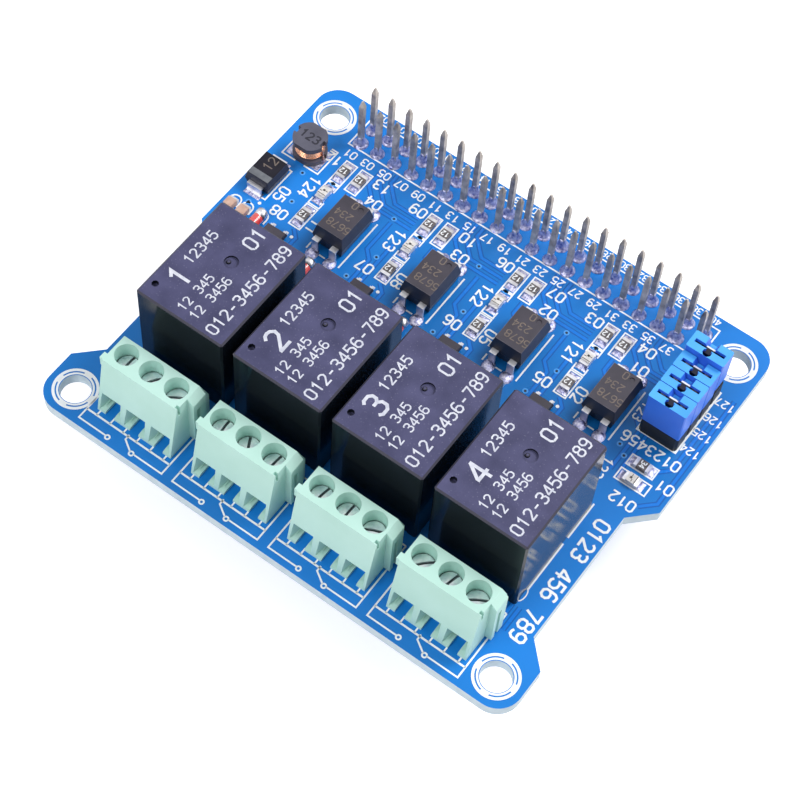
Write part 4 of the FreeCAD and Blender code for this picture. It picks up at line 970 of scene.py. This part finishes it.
def fillet():
    """Solder at one end of a chip that lies along Y: the profile of distance and height carried
    across the end, and brought down to the pad at both sides."""
    along, height = np.array(FILLET_PROFILE).T
    across, fall = np.array(FILLET_ACROSS).T
    rows, columns = len(along), len(across)
    grid = np.stack([np.broadcast_to(across * FILLET_HALF, (rows, columns)),
                     np.repeat(along[:, None], columns, 1),
                     PAD_PROUD + np.outer(height, fall)], 2)
    first = cells(rows, columns)
    faces = np.stack([first, first + 1, first + columns + 1, first + columns], 2)
    return grid.reshape(-1, 3), faces.reshape(-1, 4).tolist()


def solder_pads(name, shapes):
    """Tinned pads, flat on the board."""
    flat_piece(name, shapes, solder, height=BOARD_TOP + PAD_PROUD, thick=PAD_PROUD)


def in_channels(place):
    """A place beside a channel's column, in each of the channels."""
    return [(channel_place(channel, place[0]), place[1]) for channel in range(CHANNELS)]


resistor_places = [place for resistor in RESISTORS for place in in_channels(resistor)]
resistors = [*((place, 0) for place in resistor_places), (LONE_RESISTOR, 90)]
lights = [*((place, 0) for place in in_channels(LIGHT)), (LONE_LIGHT, 90)]
pads, fillets = [], []
for place, turn in resistors + lights:
    for end in (0, 180):
        pads.append(moved(slab(*PAD), place, turn + end))
        fillets.append(moved(fillet(), place, turn + end))
figures = [written("12", place, CHIP_TALL, 180, CHIP_WEIGHT) for place in resistor_places]
figures.append(written("34", LONE_RESISTOR, CHIP_TALL, -90, CHIP_WEIGHT))
light_marks = [moved(slab(*mark), place, turn) for place, turn in lights for mark in LIGHT_MARKS]
solder_pads("chip_pads", pads)
soldered("chip_solder", fillets)
mark_on("chip_resistors", "chip_figures", figures, ink)
mark_on("status_lights", "light_marks", light_marks,
        finish_of("light_chip", *LIGHT_CHIP, 0.3, scale=2000.0))

# The glass diodes
# Red glass barrels between two pressed metal caps, soldered to the board behind the relays.

GLASS = ((0.62, 0.030, 0.045), (0.80, 0.12, 0.10))
GLASS_PLACES = [(-18.2 + 13.5 * relay, 3.6) for relay in range(CHANNELS)] + [(-26.95, 5.75)]
GLASS_HALF = 1.75
END_CAP_PROFILE = ((0.0, 0.0), (0.66, 0.0), (0.73, 0.06), (0.73, 1.0), (0.0, 1.0))
END_CAP_PAST = 0.02
END_CAP_HEIGHT = 0.74
dress(["glass_diodes"], finish_of("red_glass", *GLASS, 0.08, scale=900.0, coat=0.8))
end_caps = []
points, faces = turned(END_CAP_PROFILE, 24)
faces = [face[::-1] for face in faces]
for across, along in GLASS_PLACES:
    for end in (-1, 1):
        inward = points[:, 2] - GLASS_HALF - END_CAP_PAST
        lying = np.stack([points[:, 0] * end, inward * end, points[:, 1]], 1)
        end_caps.append((lying + (across, along, END_CAP_HEIGHT), faces))
new_piece("glass_diode_caps", gathered(end_caps), leg_tin, smooth=True,
          height=BOARD_TOP)

# The choke
# A ground ferrite bobbin wound with enamelled copper wire, whose ends run down to the pads. Its
# number is printed in black on the slate-grey face.

FERRITE = ((0.062, 0.062, 0.092), (0.095, 0.095, 0.135))
FERRITE_SIDE = ((0.050, 0.045, 0.055), (0.085, 0.078, 0.090))
COPPER = ((0.78, 0.30, 0.14), (0.95, 0.52, 0.32))
BLACK_INK = ((0.006, 0.006, 0.016), (0.012, 0.012, 0.026))
CHOKE_PLACE = (-28.2, 18.35)
WIRE_RADIUS = 0.13
WIRE_SIDES = 8
WIRE_TURNS = 5.4
TURN_STEPS = 30
WIRE_LOW = 0.90
WIRE_HIGH = 2.30
COIL_RADIUS = 1.72
CORE_INNER = 1.04
CORE_OUTER = 1.66
CORE_LOW = 0.80
CORE_HIGH = 2.40
TAIL = ((COIL_RADIUS, 0, WIRE_HIGH), (1.88, 0.02, 1.9), (1.95, 0.03, 1.2), (1.95, 0.03, 0.6),
        (1.95, 0.03, 0.03))
CHOKE_PADS = ((-30.62, -29.4, 16.7, 19.8), (-27.1, -25.8, 16.6, 19.8))


def wire(path):
    """A round wire along a path. At each point a ring stands square to the path: the radius times
    the cosine of the angle to the side, and times the sine square to the side and the path."""
    path = np.asarray(path, float)
    ahead = np.gradient(path, axis=0)
    ahead /= np.linalg.norm(ahead, axis=1)[:, None]
    guide = np.where(np.abs(ahead[:, 2:]) > 0.9, (1.0, 0, 0), (0, 0, 1.0))
    side = np.cross(ahead, guide)
    side /= np.linalg.norm(side, axis=1)[:, None]
    over = np.cross(side, ahead)
    angle = np.linspace(0, 2 * np.pi, WIRE_SIDES, endpoint=False)
    circle = np.cos(angle)[:, None] * side[:, None] + np.sin(angle)[:, None] * over[:, None]
    ends = np.repeat(path[[0, -1], None], WIRE_SIDES, 1)
    return wrapped(np.concatenate([ends[:1], path[:, None] + WIRE_RADIUS * circle, ends[1:]]))


ferrite = finish_of("ferrite", *FERRITE, 0.42, scale=500.0, grain_scale=5000.0, bump=0.7,
                    bump_depth=0.03)
two_zoned(ferrite, *FERRITE_SIDE, 0.40, bump=0.3)
dress(["choke_core"], ferrite)
copper = finish_of("copper_wire", *COPPER, 0.20, scale=900.0, metal=0.9, coat=0.4)
turn = np.linspace(0, WIRE_TURNS * 2 * np.pi, int(WIRE_TURNS * TURN_STEPS))
winding = np.column_stack([COIL_RADIUS * np.cos(turn), COIL_RADIUS * np.sin(turn),
                           np.linspace(WIRE_HIGH, WIRE_LOW, len(turn))])
core_wall = turned(((CORE_INNER, CORE_LOW), (CORE_OUTER, CORE_LOW), (CORE_OUTER, CORE_HIGH),
                    (CORE_INNER, CORE_HIGH), (CORE_INNER, CORE_LOW)), 40)
tails = [wire(np.array(TAIL) * (side, 1, 1)) for side in (-1, 1)]
coil = new_piece("choke_wire", moved(gathered([wire(winding), core_wall, *tails]), CHOKE_PLACE),
                 copper, smooth=True, height=BOARD_TOP)
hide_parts("choke_winding")
mark_on("choke_core", "choke_print", [written("123", CHOKE_PLACE, 1.1, 0, 0.2)],
        finish_of("black_print", *BLACK_INK, 0.5, scale=1500.0))
solder_pads("choke_pads", [slab(*pad) for pad in CHOKE_PADS])

# The power diode
# A drafted black block on two wide tinned leads, with a worn grey band at one end and a plain
# number. Solder wets the pads out to the white line.

DIODE_BLACK = ((0.006, 0.006, 0.012), (0.013, 0.012, 0.021))
DIODE_SIDE = ((0.022, 0.023, 0.038), (0.034, 0.036, 0.056))
BAND_GREY = ((0.10, 0.11, 0.13), (0.15, 0.16, 0.18))
BAND_INSIDE = 0.26
BAND_WIDE = 0.94
NUMBER_BEHIND = 0.65
DIODE_MARK_PROUD = 0.014
DIODE_PADS = ((-31.05, -28.75, 8.8, 9.9), (-31.05, -28.75, 14.2, 15.3))
diode_black = finish_of("diode_black", *DIODE_BLACK, 0.40, scale=420.0, grain_scale=6000.0,
                        bump=0.6, gloss=0.2)
two_zoned(diode_black, *DIODE_SIDE, 0.34, bump=0.3)
dress(["power_diode_body"], diode_black)
low, high = low_high("power_diode_body")
middle = (low + high) / 2
front = low[1] + BAND_INSIDE
band = slab(low[0] + BAND_INSIDE, high[0] - BAND_INSIDE, front, front + BAND_WIDE)
mark_on("power_diode_body", "diode_band", [band],
        finish_of("worn_band", *BAND_GREY, 0.5, scale=1500.0), proud=RIM_PROUD, thick=RIM_THICK)
diode_number = written("12", (middle[0], middle[1] + NUMBER_BEHIND), 1.2, 90, 0.12)
mark_on("power_diode_body", "diode_print", [diode_number], laser, proud=DIODE_MARK_PROUD)
solder_pads("diode_pads", [slab(*pad) for pad in DIODE_PADS])

# Solder under the board
# Wave solder has left a small cone round each leg of the relays, terminals and jumpers.

UNDER_PROFILE = ((0.0, -1.0), (0.36, -1.0), (0.42, -0.75), (0.58, -0.42), (0.80, -0.16),
                 (1.0, -0.05), (1.0, 0.0), (0.0, 0.0))
UNDER_SPREAD = (0.92, 1.06)
UNDER_TALL = 1.25
RELAY_LEGS = ((4, -3.25), (-4, -3.25), (0, -7.65), (4, -14.65), (-4, -14.65))
RELAYS_FIRST = -19.95
RELAYS_APART = 13.3
RELAY_CONE = 1.15
TERMINALS_FIRST = -25.35
WAY_APART = 3.5
TAILS_ALONG = -19.56
TERMINAL_CONE = 1.1
JUMPER_MIDDLE = 27.17
JUMPER_CONE = 0.85
relay_legs = [(RELAYS_FIRST + RELAYS_APART * relay + aside, along, RELAY_CONE)
              for relay in range(CHANNELS) for aside, along in RELAY_LEGS]
terminal_legs = [(TERMINALS_FIRST + TERMINALS_APART * terminal + WAY_APART * (way + 0.5),
                  TAILS_ALONG, TERMINAL_CONE)
                 for terminal in range(CHANNELS) for way in range(WAYS)]
jumper_legs = [(JUMPER_MIDDLE + aside, CAP_FIRST + PIN_APART * cap, JUMPER_CONE)
               for aside in (-PIN_APART / 2, PIN_APART / 2) for cap in range(CAPS)]
under_cones = []
for across, along, width in relay_legs + terminal_legs + jumper_legs:
    points, faces = turned(UNDER_PROFILE)
    size = chance.uniform(*UNDER_SPREAD, 3) * (width, width, UNDER_TALL)
    under_cones.append((points * size + (across, along, 0), faces))
soldered("under_solder", under_cones, BOARD_UNDER)
